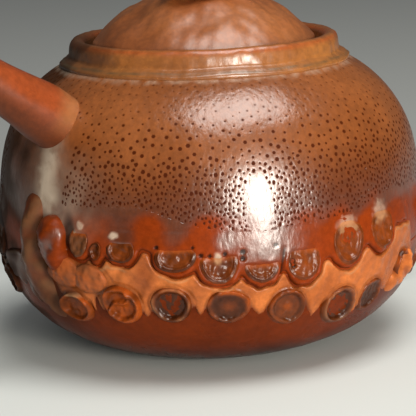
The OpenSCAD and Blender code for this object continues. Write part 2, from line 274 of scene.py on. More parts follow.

# %% [markdown]
# ## From numbers to a mesh
# Modifiers or sculpting could make these shapes. They are worked out as points instead, because each
# piece has to follow the same uneven skin closely. One helper makes an object from points in millimetres
# and faces, and stores masks, such as the painted shade of creases, as vertex attributes. The clays read
# these masks, so a colour or a painted shade keeps its place on the relief that it belongs to.

# %% Mesh helpers
def make_piece(name, points, faces, body, masks, stands_for):
    """An object from points in mm, riding on a body and standing for CAD nodes, with masks for its clay."""
    mesh = bpy.data.meshes.new(name)
    mesh.from_pydata((np.asarray(points) * MM).tolist(), [], [list(map(int, f)) for f in faces])
    mesh.validate()
    for key, values in masks.items():
        layer = mesh.attributes.new(key, "FLOAT", "POINT")
        layer.data.foreach_set("value", np.asarray(values, np.float32).ravel())
    mesh.shade_smooth()
    piece = bpy.data.objects.new(name, mesh)
    bpy.context.scene.collection.objects.link(piece)
    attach(piece, body)
    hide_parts(*stands_for)
    return piece


def grid_faces(rows, columns, around=False, start=0, flip=False):
    """Quads of a grid of points, closed round when around is true."""
    quads = []
    for j in range(rows - 1):
        for i in range(columns if around else columns - 1):
            k = (i + 1) % columns
            quad = [start + j * columns + i, start + j * columns + k,
                    start + (j + 1) * columns + k, start + (j + 1) * columns + i]
            quads.append(quad[::-1] if flip else quad)
    return quads


def band(one, other, count):
    """Quads between two rings of points, given the number at which each ring starts."""
    return [[one + i, one + (i + 1) % count, other + (i + 1) % count, other + i] for i in range(count)]


def fan(ring, hub, count, flip=False):
    """Triangles between a ring of points and one point."""
    triangles = [[ring + i, ring + (i + 1) % count, hub] for i in range(count)]
    return [[b, a, c] for a, b, c in triangles] if flip else triangles


def finer(outline, spacing, lengthwise=False):
    """An outline with points about a spacing apart, measured in both its numbers or in the first alone."""
    points = []
    for (a1, b1), (a2, b2) in zip(outline, outline[1:]):
        reach = math.hypot(a2 - a1, 0 if lengthwise else b2 - b1)
        steps = max(1, int(reach / spacing))
        points += [(a1 + (a2 - a1) * k / steps, b1 + (b2 - b1) * k / steps) for k in range(steps)]
    return points + [outline[-1]]


def turned(profile, columns, wobble):
    """Points and faces of a closed outline of radius and height turned round the axis and moved by a hand."""
    psi = np.arange(columns)[None, :] * 360 / columns
    outline = np.asarray(profile, float)
    r, z = wobble(psi, np.repeat(outline[:, :1], columns, 1), np.repeat(outline[:, 1:2], columns, 1))
    rows = len(outline)
    faces = grid_faces(rows, columns, around=True) + band((rows - 1) * columns, 0, columns)
    return on_pot(psi, r, z).reshape(-1, 3), faces

# %% Lumps
def waves_of(size, count=9):
    """Plane waves about size mm long, for a soft unevenness that has no seam anywhere."""
    ways = rng.normal(size=(count, 3))
    ways *= (2 * math.pi / size * rng.uniform(0.7, 1.4, count) / np.linalg.norm(ways, axis=1))[:, None]
    return ways, rng.uniform(0, 2 * math.pi, count)


def lumps_at(points, waves):
    """The sum of the waves at points in mm, about -1.5 to 1.5."""
    ways, phases = waves
    return np.cos(points @ ways.T + phases).sum(-1) / math.sqrt(len(phases) / 2)


def lumps(psi, z, waves):
    """The waves on the skin."""
    return lumps_at(on_pot(psi, skin(z), z), waves)


BROAD, MIDDLING, FINEST = 9, 3.6, 1.5   # mm: the press of a thumb, of a fingertip, and the clay's own grain
broad, middling, fine = waves_of(BROAD), waves_of(MIDDLING), waves_of(FINEST, 12)
print("lumps of", BROAD, MIDDLING, FINEST, "mm")

# %% [markdown]
# ## Arms and suckers: where they lie
# Two rows of arms lie round the pot, above and below a wavy line. The clay was pressed over each sucker
# with a thumb, so the lower edge of the upper row is scalloped, and the lower row shows as a web with
# points that run down between its suckers. The suckers in view are placed by their image points, and the
# others are spaced evenly along their arms.

# %% The rows
SIDES = ["front", "right", "back", "left"]
HEM_SWING, HEM_WAVES, HEM_TURN = 2.2, 4, 27   # mm, waves and degrees of the line between the rows
THUMB_PRESSES = [(-58, 10, 1.8), (-1, 9, -1.2), (-84, 7, 2.0)]   # degrees, width in degrees, lift in mm


def angle_span(node):
    """First and last angle that a CAD node covers, in degrees."""
    a = angle_of(np.array([v.co for v in frame["nodes"][node].data.vertices]))
    middle = np.degrees(np.angle(np.exp(1j * np.radians(a)).mean()))
    off = (a - middle + 180) % 360 - 180
    return middle + off.min(), middle + off.max()


spans = {f"{row}_{side}": angle_span(f"{row}_arm_{side}") for row in ("upper", "lower") for side in SIDES}
print("arms from and to, degrees:", {key: [round(float(v)) for v in span] for key, span in spans.items()})


def nearest(psi):
    """The same angle between -180 and 180 degrees."""
    return (psi + 180) % 360 - 180


def hem(psi):
    """Height of the line between the rows. Thumb presses lift it on the left and lower it on the right."""
    height = seam_h - HEM_SWING * np.cos(np.radians(HEM_WAVES * (psi + HEM_TURN)))
    for at, width, lift in THUMB_PRESSES:
        height = height + lift * spot(nearest(psi), at, width)
    return height


def turned_place(point):
    """Angle in degrees and height in mm of a point in metres."""
    return math.degrees(math.atan2(point.x, -point.y)), point.z / MM

# %% The suckers in view
CARRIER_OFF = 0.6          # mm, how far the middle of a sucker's face stands off the skin
carrier_z = np.linspace(2, shoulder_h - 2, 60)
carrier_psi = np.arange(0, 360, 3.0)
carrier_points = on_pot(carrier_psi[None, :], skin(carrier_z)[:, None] + CARRIER_OFF, carrier_z[:, None])
carrier = BVHTree.FromPolygons((carrier_points.reshape(-1, 3) * MM).tolist(),
                               grid_faces(len(carrier_z), len(carrier_psi), around=True))

# a and b are a sucker's half width and half height and rim the height of its rim, in mm. warm is how far
# the flame reddened it. What else is special about it follows. dark is how much painted shade darkens its
# grooves, and dull how much ash greys it. open is how far up its face shows from under the skin, -1 at its
# foot and 1 at its top. pads are pale patches, partly ash and partly painted highlights: across, up, half
# width, half height, in mm from its middle. pits are holes darkened with painted shade: across, up, radius.
# A lower one also has its seat, the height of its face above the skin; a dish and a button, the depth and
# height of its middle; a swirl, the height of a fold; glow and core, orange all over or in the middle; and
# pale, the ash on its rim.
UPPER_SUCKERS = {
    "upper_1": dict(a=2.5, b=3.6, rim=0.5, warm=0.0, dull=0.12,
                    ash_and_highlight_pads=[(0.3, 3.3, 0.95, 1.0), (-1.1, 1.8, 0.4, 0.4)]),
    "upper_3": dict(a=3.3, b=3.0, rim=0.9, warm=0.4, dark=0.9, ash_and_highlight_pads=[(-1.7, 2.8, 1.05, 0.75)]),
    "upper_4": dict(a=4.5, b=3.9, rim=1.1, warm=0.3, dark=0.9, open=-0.1,
                    pits=[(-3.9, 1.6, 0.35), (3.6, 1.6, 0.3)]),
    "upper_5": dict(a=4.4, b=4.6, rim=1.0, warm=0.3, open=-0.15, ash_and_highlight_pads=[(-0.2, 0.8, 1.0, 1.3)],
                    pits=[(-3.6, 1.6, 0.4), (-1.8, 1.4, 0.35), (1.3, 1.7, 0.4)]),
    "upper_6": dict(a=4.3, b=4.7, rim=1.1, warm=0.2, dark=0.7, open=-0.5,
                    pits=[(-4.0, 2.3, 0.5), (-4.1, 0.9, 0.45), (3.0, 3.2, 0.4)]),
    "upper_7": dict(a=3.9, b=4.8, rim=0.35, warm=0.5, pits=[(-2.6, 0.0, 0.4), (-2.4, -1.0, 0.35)]),
    "upper_8": dict(a=4.3, b=5.2, rim=1.0, warm=0.5, open=0.35,
                    ash_and_highlight_pads=[(-0.3, 3.9, 2.6, 1.6), (1.6, 2.6, 0.9, 0.9), (-1.6, 2.6, 1.0, 0.9)]),
    "upper_9": dict(a=3.9, b=4.9, rim=0.7, warm=0.6, open=0.3, ash_and_highlight_pads=[(-0.4, 3.5, 2.3, 2.5)]),
}
LOWER_SUCKERS = {
    "lower_2": dict(a=4.6, b=3.7, rim=1.5, warm=1, glow=0.6, seat=0.9, dish=0.5, button=0.0,
                    ash_and_highlight_pads=[(0.5, 3.0, 2.6, 0.6)]),
    "lower_3": dict(a=4.7, b=4.5, rim=1.6, warm=1, glow=0.9, seat=1.1, dish=0.6, button=0.0, swirl=1.6),
    "lower_4": dict(a=4.9, b=4.2, rim=1.3, warm=0.6, pale=0.25, dish=0.55, button=0.1),
    "lower_5": dict(a=5.0, b=4.2, rim=0.7, warm=0.9, core=0.3, dish=0.25, button=0.1),
    "lower_6": dict(a=4.7, b=4.4, rim=1.2, warm=0.6, core=0.7, glow=0.25, dish=0.3, button=0.8),
    "lower_7": dict(a=5.1, b=4.8, rim=1.4, warm=0.5, pale=0.2, dish=0.6, button=0.15),
    "lower_8": dict(a=3.9, b=4.0, rim=0.8, warm=0.5, dish=0.3, button=0.1),
}


def discs_in_view(table):
    """The suckers of a table, each at the place that its image point shows."""
    rows = []
    for name, extras in table.items():
        psi, z = turned_place(place(name, carrier))
        rows.append(dict(extras, name=name, psi=psi, z=z))
        print(name, "at", round(psi, 1), "degrees,", round(z, 1), "mm")
    return rows

# %% [markdown]
# ### The suckers round the back
# The photograph shows about a third of the pot. The rest carries on as it begins: evenly spaced suckers that
# shrink towards the tip of each arm, each moved and sized a little by chance, as a hand leaves them.

# %% All the suckers
def discs_along(first, last, count, side, width, taper, size):
    """Suckers from an arm's root to its tip, between two angles, above the hem or, with side -1, below it."""
    rows = []
    for i in range(count):
        u = (i + 0.5) / count
        psi = first + (last - first) * u
        half = width / 2 * (1 + (taper - 1) * u)
        rows.append(dict(name="", psi=psi + rng.uniform(-0.8, 0.8), a=min(size, half) * rng.uniform(0.9, 1),
                         z=float(hem(psi)) + side * (half + 0.2 + rng.uniform(-0.3, 0.3)),
                         b=min(size, half) * rng.uniform(0.9, 1.02), rim=rng.uniform(0.8, 1.3),
                         warm=rng.uniform(0.2, 0.7), dish=rng.uniform(0.25, 0.6),
                         button=rng.uniform(0, 0.4)))
    return rows


arms = {
    "upper_front": discs_in_view(UPPER_SUCKERS),
    "upper_right": discs_along(113, 43, 7, 1, ROW_UP, 0.66, 4.6),
    "upper_back": discs_along(190, 134, 6, 1, ROW_UP, 0.66, 4.6),
    "upper_left": discs_along(250, 210, 4, 1, ROW_UP, 0.7, 4.6),
    "lower_front": discs_in_view(LOWER_SUCKERS),
    "lower_right": discs_along(39, 72, 3, -1, ROW_DOWN, 0.8, 5.0),
    "lower_back": discs_along(105, 166, 5, -1, ROW_DOWN, 0.74, 5.0),
    "lower_left": discs_along(188, 254, 5, -1, ROW_DOWN, 0.6, 5.0),
}
# Four that hardly show from the camera: a small ring, a cupped tip, and the two lobes of a squeezed one
ring = dict(name="", psi=-69.2, z=29.8, a=1.4, b=2.0, rim=0.9, warm=0.8, dark=0.9, open=2)
arms["upper_front"].insert(1, ring)
arms["lower_front"] += [
    dict(name="", psi=21.5, z=19.5, a=3.4, b=4.2, rim=1.2, warm=0.8, dish=0.8, button=0),
    dict(name="", psi=-79.8, z=24.2, a=5.2, b=3.4, rim=0, warm=1, seat=0.9, dish=-1.5, button=0, dull=0.1),
    dict(name="", psi=-72.2, z=23.4, a=4.8, b=3.3, rim=0, warm=1, seat=0.8, dish=-1.2, button=0, dull=0.16),
]
upper_discs = [d for side in SIDES for d in arms[f"upper_{side}"]]
lower_discs = [d for side in SIDES for d in arms[f"lower_{side}"]]
print(len(upper_discs), "suckers in the upper row,", len(lower_discs), "in the lower one")

# %% [markdown]
# ## Flame, painted shade and painted sheen
# The pot is coloured by place, not by piece: orange-red where the flame licked the hem, a pale streak below
# the spout that is a painted sheen, and painted shade on the side behind it. It could be painted on an
# unwrapped texture. These masks are worked out from the place instead, so a colour runs on from one piece to
# the next.

# %% Masks of the firing, painted shade and painted sheen
LICKED_TO, LICKED_FADE = 31.5, 7    # mm, height where the hem's orange begins to go, and over which it goes
FAR_SIDE_SHADE_FROM, FAR_SIDE_SHADE_TO = -97, -178  # degrees, the side behind the spout, darkened with painted shade
SHEEN_STREAK_AT, SHEEN_STREAK_LEAN = -86.5, 0.15  # degrees, and degrees per mm of height: the pale streak below the spout, a painted sheen in the ash colour


def hem_flush(psi, z):
    """1 on the hem, where the flame licked it, fading upwards. One stretch of it was rubbed brown."""
    rubbed = 0.85 * spot(nearest(psi), -25, 8) * rise(z, 26, 3)
    return (1 - rise(z + 1.6 * lumps(psi, z, broad), LICKED_TO, LICKED_FADE)) * (1 - rubbed)


def painted_shade_at(psi, z):
    """1 where shade is painted: on the side behind the spout, and in the hollow where the arms end."""
    near = nearest(psi)
    behind = fall(near - 4 * lumps(psi, z, broad), FAR_SIDE_SHADE_FROM, 14) * rise(near, FAR_SIDE_SHADE_TO, 45)
    crevice_shade = 0.75 * spot(near, -87, 6.5) * spot(z, 17, 7)
    return np.maximum(behind, crevice_shade)


def painted_sheen_at(psi, z):
    """A painted sheen below the spout, in the ash colour: a leaning streak in a wider veil."""
    near = nearest(psi)
    streak = spot(near + SHEEN_STREAK_LEAN * (z - 45), SHEEN_STREAK_AT, 3.4) * rise(z, 34, 5) * fall(z, 58, 6)
    veil = 0.27 * spot(near, -83, 11) * rise(z, 29, 5) * fall(z, 52, 10)
    return np.clip((streak + veil) * (0.9 + 0.2 * lumps(psi, z, middling)), 0, 0.9)


print("flame on the hem at the front:", round(float(hem_flush(0.0, seam_h)), 2))

# %% [markdown]
# ## The relief of the arms
# An arm is a slab of clay whose face is a relief: a height above the skin for each place. It could be
# sculpted, but a formula keeps each sucker and its hollow together. The relief comes from a distance, in
# millimetres, inside the scalloped edge. A smooth maximum of round and straight parts gives that distance,
# so the scallops flow into each other as soft clay does.

# %% Distances
PROUD = 0.9                # mm, how far an arm stands out past the skin
NOTCH = 3.2                # mm, how far the scallops are cut up between the suckers
FAR_OUT = -20.0            # mm, a distance from which no sucker counts


def soft_max(a, b, k):
    """The larger of two distances, blended where they are within about k of each other."""
    top = np.maximum(a, b)
    return top + k * np.log(np.exp((a - top) / k) + np.exp((b - top) / k))


def disc_distance(psi, z, disc):
    """0 at the middle of a sucker and 1 at its edge."""
    return np.hypot(nearest(psi - disc["psi"]) * DEGREE / disc["a"], (z - disc["z"]) / disc["b"])


def inside_discs(psi, z, discs, grow):
    """Distance in mm inside the joined outline of some suckers, each grown by some mm."""
    best = np.full(np.broadcast(psi, z).shape, FAR_OUT)
    for disc in discs:
        size = min(disc["a"], disc["b"])
        best = soft_max(best, size * (1 + grow / size - disc_distance(psi, z, disc)), 0.3)
    return best


def inside_upper(psi, z):
    """Distance in mm inside the scalloped edge of the upper row."""
    wander = 0.12 * lumps(psi, z, middling)
    return soft_max(inside_discs(psi, z, upper_discs, 0.8), z - hem(psi) - NOTCH, 0.45) + wander


ringed = sorted((d for d in lower_discs if d["rim"]), key=lambda d: d["psi"] % 360)


def row_middle(psi):
    """Height of the middle line of the lower row's suckers."""
    return np.interp(psi, [d["psi"] for d in ringed], [d["z"] for d in ringed], period=360)


print("middle of the lower row at the front:", round(float(row_middle(0.0)), 1), "mm")

# %% Spots and pits on the suckers
def pads_and_pits(psi, z, discs):
    """Masks of the pale patches, partly ash and partly painted highlights, and of the holes darkened with
    painted shade, that belong to some suckers.
    """
    ash = np.zeros(np.broadcast(psi, z).shape)
    hole = np.zeros_like(ash)
    for disc in discs:
        across = nearest(psi - disc["psi"]) * DEGREE
        up_from = z - disc["z"]
        for x, y, w, h in disc.get("ash_and_highlight_pads", ()):
            q = np.hypot((across - x) / w, (up_from - y) / h) + 0.1 * lumps(psi, z, fine)
            ash = np.maximum(ash, 0.6 * fall(q, 1.25, 0.65))
        for x, y, w in disc.get("pits", ()):
            hole = np.maximum(hole, fall(np.hypot(across - x, up_from - y) / w, 1.5, 0.5))
    return ash, hole


def cover(up_share, disc):
    """1 where a sucker of the upper row shows, and 0 where the skin runs on over its top."""
    return 1 - rise(up_share, disc.get("open", 0.05), 0.5)

# %% Relief of the upper row
ROUND = 0.95               # mm, radius of the upper row's lower edge
SUNK, LIP = -0.82, 0.8     # mm, height outside the row, under the skin, and the rise from there to the skin
LET_IN = 0.9               # mm, depth of the hollow that a sucker sits in
CUP_AT, CUP_SIZE = (-77.4, 30.5), (1.9, 6.5)   # degrees and mm, mm: the cup beside the raised tip, a hollow darkened with painted shadow
BEHIND_TIP = -78.5         # degrees; the row is in shadow past here, behind the raised tip
TAN_FROM = -16             # degrees; the pads to the right of here are tan, not pale


def rounded(edge, radius):
    """A quarter circle: 0 at an edge and 1 from a radius inwards."""
    return np.sqrt(1 - (1 - np.clip(edge / radius, 0, 1)) ** 2)


def upper_surface(psi, z):
    """Height of the upper row above the skin, before its suckers are let in."""
    above = (z - hem(psi)) / ROW_UP
    fade = np.clip(1 - (above - 0.1) / 1.3, 0, 1) ** 3
    face = (PROUD + 0.3 + 0.1 * lumps(psi, z, middling)) * fade
    return SUNK + (LIP + face) * rounded(inside_upper(psi, z), ROUND)


def crack_beside(disc, psi, z):
    """The crack that runs up along a sucker's left side, leaning with it, darkened with painted shade."""
    beside = nearest(psi - disc["psi"]) * DEGREE + disc["a"] + 0.5 - 0.16 * (z - disc["z"] - 2.5)
    return spot(beside, 0, 0.3) * fall(z, disc["z"] + 3.6, 1.2)


def upper_relief(psi, z):
    """Height of the upper row with its hollows, pads, pits and crack, and the masks that go with them."""
    height = upper_surface(psi, z)
    edge = inside_upper(psi, z)
    for disc in upper_discs:
        hollow = fall(disc_distance(psi, z, disc), 0.9, 0.12)
        height = height - LET_IN * hollow * cover((z - disc["z"]) / disc["b"], disc)
    ash, hole = pads_and_pits(psi, z, upper_discs)
    crack = crack_beside(next(d for d in upper_discs if d["name"] == "upper_7"), psi, z)
    from_cup = np.hypot(nearest(psi - CUP_AT[0]) * DEGREE / CUP_SIZE[0], (z - CUP_AT[1]) / CUP_SIZE[1])
    cup = fall(from_cup, 1.25, 0.6)
    room = np.maximum(height - 0.05, 0)         # a hole ends above the skin, which would fill it
    height = height - np.minimum(0.5 * hole + 1.2 * crack + 0.8 * cup * room, room) + 0.25 * ash * (room > 0)
    under_lip = spot(np.maximum(edge, 0), 0, 0.3)
    behind = 0.85 * fall(nearest(psi), BEHIND_TIP, 2) * fall(z, 35, 3)
    tanned = 1 - 0.5 * rise(nearest(psi), TAN_FROM, 8)
    # Painted shade: dark under the scalloped lip, in the pits and the crack, in the cup and behind the raised
    # tip.
    return height, {"crease": np.maximum.reduce([under_lip, hole, crack, 0.9 * cup, behind]),
                    "ash": np.maximum(ash * tanned, painted_sheen_at(psi, z)),
                    "flush": hem_flush(psi, z), "smoke": painted_shade_at(psi, z)}


front_psi = np.linspace(-60, 20, 300)
print("upper row stands out by up to", round(float(upper_surface(front_psi, seam_h + 5).max()), 2), "mm")

# %% Relief of the lower row
TONGUE = 2.7               # mm, half width of a tongue of web where it leaves the band
TONGUE_LONG = 4.6          # mm, how far the longest tongue runs down
# Gaps between the arms, cut in and darkened with painted shade: angle in degrees, then height, half width,
# half height and depth in mm
SHADED_GAPS = [(-71.3, 15.5, 0.9, 3.8, 1.4), (-76.5, 28.2, 3.2, 1.1, 1.2)]
SHADED_FROM, SHADED_TO = -83.5, -115   # degrees; the row is in shadow there, below the spout
WARMER_FROM = -86          # degrees; the web's orange comes up over the next 26
DULLER_AT = 27             # degrees; the web is browner round here, towards the handle


def tongue_angles(discs):
    """The angles half way between neighbouring suckers, where the web runs down in a tongue."""
    row = sorted(discs, key=lambda d: d["psi"])
    row.append(dict(row[0], psi=row[0]["psi"] + 360))
    return [(one["psi"] + one["a"] / DEGREE + other["psi"] - other["a"] / DEGREE) / 2
            for one, other in zip(row, row[1:])]


tongues = tongue_angles(ringed)
print(len(tongues), "tongues of web")


def web_edge(psi, z):
    """Distance in mm inside the web's lower edge."""
    reach = np.zeros(np.broadcast(psi, z).shape)
    for i, middle in enumerate(tongues):
        off = np.abs(nearest(psi - middle)) * DEGREE
        reach = np.maximum(reach, np.clip(1 - off / TONGUE, 0, 1) * (0.85 + 0.15 * math.cos(5.0 * i)))
    return z - row_middle(psi) - 0.9 + TONGUE_LONG * reach ** 0.85 + 0.25 * lumps(psi, z, middling)


def web_colour(psi, z, web):
    """How orange the web is: most along its middle, less below the spout and towards the handle."""
    licked = 0.5 + 0.5 * rise(nearest(psi), WARMER_FROM, 26)
    orange = rise(web, -0.7, 3.2) * np.clip(0.76 + 0.12 * lumps(psi, z, broad), 0, 1) * licked
    return orange * (1 - 0.5 * spot(nearest(psi), DULLER_AT, 14))


def lower_relief(psi, z):
    """Height of the lower row, which is a web with hollows for its suckers, and the masks that go with it."""
    web = web_edge(psi, z)
    edge = soft_max(inside_discs(psi, z, lower_discs, 0.35), web, 0.5)
    over = inside_upper(psi, z)
    near = inside_discs(psi, z, lower_discs, 0.0)
    height = -0.5 + 1.05 * rise(edge, -0.3, 1.7) + 0.1 * lumps(psi, z, middling)
    height = height + 0.16 * spot(over, -0.75, 0.22) - 1.5 * rise(over, -0.4, 0.5)
    height = height - 0.3 * spot(near, -0.25, 0.3)
    dark = np.zeros_like(height)
    for at, up_at, w, h, depth in SHADED_GAPS:
        gap = fall(np.hypot(nearest(psi - at) * DEGREE / w, (z - up_at) / h), 1.2, 0.5)
        height = height - depth * gap
        dark = np.maximum(dark, gap)
    for disc in lower_discs:
        height = height - 1.0 * fall(disc_distance(psi, z, disc), 0.9, 0.12)
    shaded = 0.85 * fall(nearest(psi), SHADED_FROM, 2) * (nearest(psi) > SHADED_TO)
    pale = 0.35 * spot(over, -0.8, 0.25) * smooth(lumps(psi, z, broad) + 0.3)
    # Painted shade: dark under the upper row's lip, round the suckers, in the gaps and below the spout.
    crease = np.maximum.reduce([spot(over, -0.02, 0.24), 0.45 * spot(near, 0.1, 0.35), dark, shaded])
    return height, {"crease": crease, "ash": pale,
                    "flush": web_colour(psi, z, web), "smoke": painted_shade_at(psi, z)}

# %% [markdown]
# ## Building the arms
# Each arm is a closed slab: a fine grid for the face, a plain copy of it inside the wall, and sides. Its
# face dives into the skin at both ends. Its tip is a rolled strand that leaves the row and curls up,
# joined to the same piece.

# %% Slabs
FINE = 0.27                # mm between points on the face of an arm
BACK = 2.2                 # mm, how far the back of an arm or a sucker lies inside the skin
END_FADE = 3.5             # mm over which a slab's end dives into the skin
END_ROUND = 4.0            # mm, how much a slab's ends are rounded off at its corners
END_SINK = 0.12            # mm, how far under the skin an end goes


def rim_of_grid(rows, columns):
    """The numbers of a grid's outer points, once round."""
    return (list(range(columns)) + [j * columns + columns - 1 for j in range(1, rows)]
            + [(rows - 1) * columns + i for i in range(columns - 2, -1, -1)]
            + [j * columns for j in range(rows - 2, 0, -1)])


def slab(first, last, low, high, relief):
    """A slab of clay between two angles, and between two heights that follow the hem."""
    columns = int((last - first) * DEGREE / FINE)
    rows = int((high - low) / FINE)
    psi = np.linspace(first, last, columns)[None, :]
    z = hem(psi) + np.linspace(low, high, rows)[:, None]
    psi = np.broadcast_to(psi, z.shape)
    height, masks = relief(psi, z)
    across = np.linspace(-1, 1, rows)[:, None]
    from_end = np.minimum(psi - first, last - psi) * DEGREE - END_ROUND * across ** 2
    inwards = smooth(from_end / END_FADE)
    height = np.where(height > 0, height * inwards, height) - END_SINK * (1 - inwards)
    face = on_pot(psi, skin(z) + uneven(psi, z) + height, z).reshape(-1, 3)
    back = on_pot(psi, skin(z) - BACK, z).reshape(-1, 3)
    count = len(face)
    faces = grid_faces(rows, columns) + grid_faces(rows, columns, start=count, flip=True)
    edge = rim_of_grid(rows, columns)
    faces += [[b, a, a + count, b + count] for a, b in zip(edge, edge[1:] + edge[:1])]
    masks = {key: np.concatenate([value.ravel(), np.zeros(count)]) for key, value in masks.items()}
    return np.concatenate([face, back]), faces, masks

# %% Rolled strands
def along_curve(guides, count):
    """Points on a smooth curve through guide points, evenly spread in its own measure."""
    g = np.asarray(guides, float)
    g = np.concatenate([[2 * g[0] - g[1]], g, [2 * g[-1] - g[-2]]])
    out = []
    for u in np.linspace(0, len(g) - 3 - 1e-9, count):
        i = int(u)
        t = u - i
        a, b, c, d = g[i:i + 4]
        out.append(0.5 * (2 * b + (c - a) * t + (2 * a - 5 * b + 4 * c - d) * t ** 2
                          + (3 * b - a - 3 * c + d) * t ** 3))
    return np.array(out)


def frames_along(path):
    """Along, sideways and outwards at each point of a path, without a sudden turn."""
    way = np.gradient(path, axis=0)
    way /= np.linalg.norm(way, axis=1)[:, None]
    outwards = path - [0, 0, path[:, 2].mean()]
    side = np.cross(way, outwards)
    for j in range(1, len(path)):
        if side[j] @ side[j - 1] < 0:
            side[j] = -side[j]
    side /= np.linalg.norm(side, axis=1)[:, None]
    return way, side, np.cross(side, way)


def strand(path, radii, sides, lump, blunt=3):
    """A rolled strand of clay along a path, rounded off over some blunt points at its ends."""
    path = np.asarray(path, float)
    radii = np.asarray(radii, float)
    count = len(path)
    cap = [math.sqrt(1 - (1 - min(1, (j + 0.1) / blunt)) ** 2) for j in range(count)]
    cap = np.minimum(cap, cap[::-1])
    way, side, top = frames_along(path)
    a = np.arange(sides) * 2 * math.pi / sides
    phase = rng.uniform(0, 6.28, 3)
    u = np.arange(count)[:, None]
    swell = 1 + lump * (np.cos(2 * a + phase[0] + 0.15 * u) + 0.6 * np.cos(0.45 * u + phase[1])
                        + 0.5 * np.cos(3 * a - 0.3 * u + phase[2]))
    r = (radii * cap)[:, None] * swell
    points = (path[:, None, :] + r[:, :, None] * (np.cos(a)[None, :, None] * side[:, None, :]
                                                 + np.sin(a)[None, :, None] * top[:, None, :])).reshape(-1, 3)
    ends = len(points)
    end_points = [path[0] - way[0] * 0.2 * radii[0], path[-1] + way[-1] * 0.2 * radii[-1]]
    faces = (grid_faces(count, sides, around=True) + fan(0, ends, sides, flip=True)
             + fan((count - 1) * sides, ends + 1, sides))
    return np.concatenate([points, end_points]), faces


def joined(*parts):
    """Several (points, faces, masks) as one."""
    points, faces, masks = [], [], {}
    keys = {key for part in parts for key in part[2]}
    base = 0
    for p, f, m in parts:
        points.append(p)
        faces += [[base + i for i in face] for face in f]
        base += len(p)
        for key in keys:
            masks.setdefault(key, []).append(m.get(key, np.zeros(len(p))))
    return np.concatenate(points), faces, {key: np.concatenate(values) for key, values in masks.items()}

# %% Tips of the arms
TIP_SINK = 1.5             # mm, how far under the skin a plain tip starts


def tip(guides, width, end_width, warm=1.0, bloom=0.0, shade_share=0.0):
    """The raised tip of an arm through guides of angle, height, and how far its middle stands off the skin.
    warm and bloom are how much flame and ash coloured it; the third share is how much painted shade darkens
    it."""
    g = along_curve(guides, 34)
    path = on_pot(g[:, 0], skin(g[:, 1]) + uneven(g[:, 0], g[:, 1]) + g[:, 2], g[:, 1])
    radii = np.linspace(width, end_width, len(path)) / 2
    step = np.linalg.norm(np.diff(path, axis=0), axis=1).mean()
    points, faces = strand(path, radii, sides=36, lump=0.04, blunt=end_width / 2 / step)
    psi, z = angle_of(points), points[:, 2]
    dents = 0.16 * lumps(psi, z, middling) + 0.1 * lumps(psi, z, fine)
    points = points + on_pot(psi, dents, 0 * z)
    patchy = np.clip(1 + 0.4 * lumps(psi, z, middling), 0.3, 1.5)
    return points, faces, {"flush": np.clip(warm * patchy, 0, 1), "ash": np.clip(bloom * patchy, 0, 0.8),
                           "smoke": np.maximum(shade_share * patchy, painted_shade_at(psi, z))}


def curled(first, last, low, high, width):
    """A plain tip that leaves the row and curls up."""
    guides = [(first, low, -TIP_SINK), ((first + last) / 2, low + 0.6, -0.8), (last, (low + high) / 2, -0.6),
              (last, high, -1.2)]
    return tip(guides, width, 0.8 * width)


TIPS = {
    "upper_front": tip([(-81.5, 24.5, -2.8), (-82.4, 28, -0.4), (-82.8, 32, 0.2), (-82.8, 36, -1.2)],
                       6.6, 7.2, warm=0.6, shade_share=0.12),
    "upper_right": curled(42, 36.5, 27.5, 33, 5.2),
    "upper_back": curled(134, 127.5, 26.5, 33, 5.2),
    "upper_left": curled(209, 203.5, 26.5, 33, 5.2),
    "lower_front": tip([(15, 17, -2), (20, 17.5, -1), (24, 19.5, -0.9), (24.6, 23.5, -2)],
                       6.0, 5.0, warm=0.8),
    "lower_right": curled(70, 77, 17, 22, 6.0),
    "lower_back": curled(165, 172, 17, 23, 6.0),
    "lower_left": tip([(273, 13.5, -4.4), (271, 17, -2.6), (269.5, 22, -1.5), (268.7, 28, -1.1),
                       (268.7, 34, -1.8), (269, 40.5, -3.9)], 7.6, 7.8, warm=0.05, bloom=0.1, shade_share=0.45),
}
print("tips:", {key: len(faces) for key, (points, faces, masks) in TIPS.items()})

# %% The arms as pieces
SLABS = {"upper": (-2.0, ROW_UP + 1.5, upper_relief),      # mm below and above the hem, and the face
         "lower": (-ROW_DOWN - 0.5, 4.6, lower_relief)}
SLAB_SPARE = 1             # degrees that a slab's face keeps from the ends of its CAD node

arm_pieces = {}
for key in arms:
    row, side = key.split("_")
    first, last = spans[key]
    face = slab(first + SLAB_SPARE, last - SLAB_SPARE, *SLABS[row])
    points, faces, masks = joined(face, TIPS[key])
    arm_pieces[key] = make_piece(f"{row}_arm_{side}_clay", points, faces, "pot", masks,
                                 (f"{row}_arm_{side}",))
print("arms:", {k: len(p.data.polygons) for k, p in arm_pieces.items()})

# %% [markdown]
# ## Suckers
# A sucker is a ball of clay pressed on with a ring tool: a rounded rim, a groove, and a dished button. A
# ready-made ring and disc would stand off the curved clay, so it is made of rings of points that lie on
# the pot's own curve. Those of the upper row have only their lower lips free, and the skin of the upper
# body runs on over their tops.

# %% Relief of the suckers
# Shares of a sucker's radius at which it has a ring of points, closest together at its rim
RING_AT = np.array([1.0, 0.99, 0.97, 0.94, 0.91, 0.88, 0.84, 0.8, 0.76, 0.72, 0.68, 0.64, 0.59, 0.54, 0.48,
                    0.42, 0.35, 0.27, 0.18, 0.09])
SUCKER_SIDES = 60
SEAT = 0.5                 # mm, height of a lower sucker above the skin
EDGE_SINK = 0.9            # mm, how far under the skin a sucker's edge goes


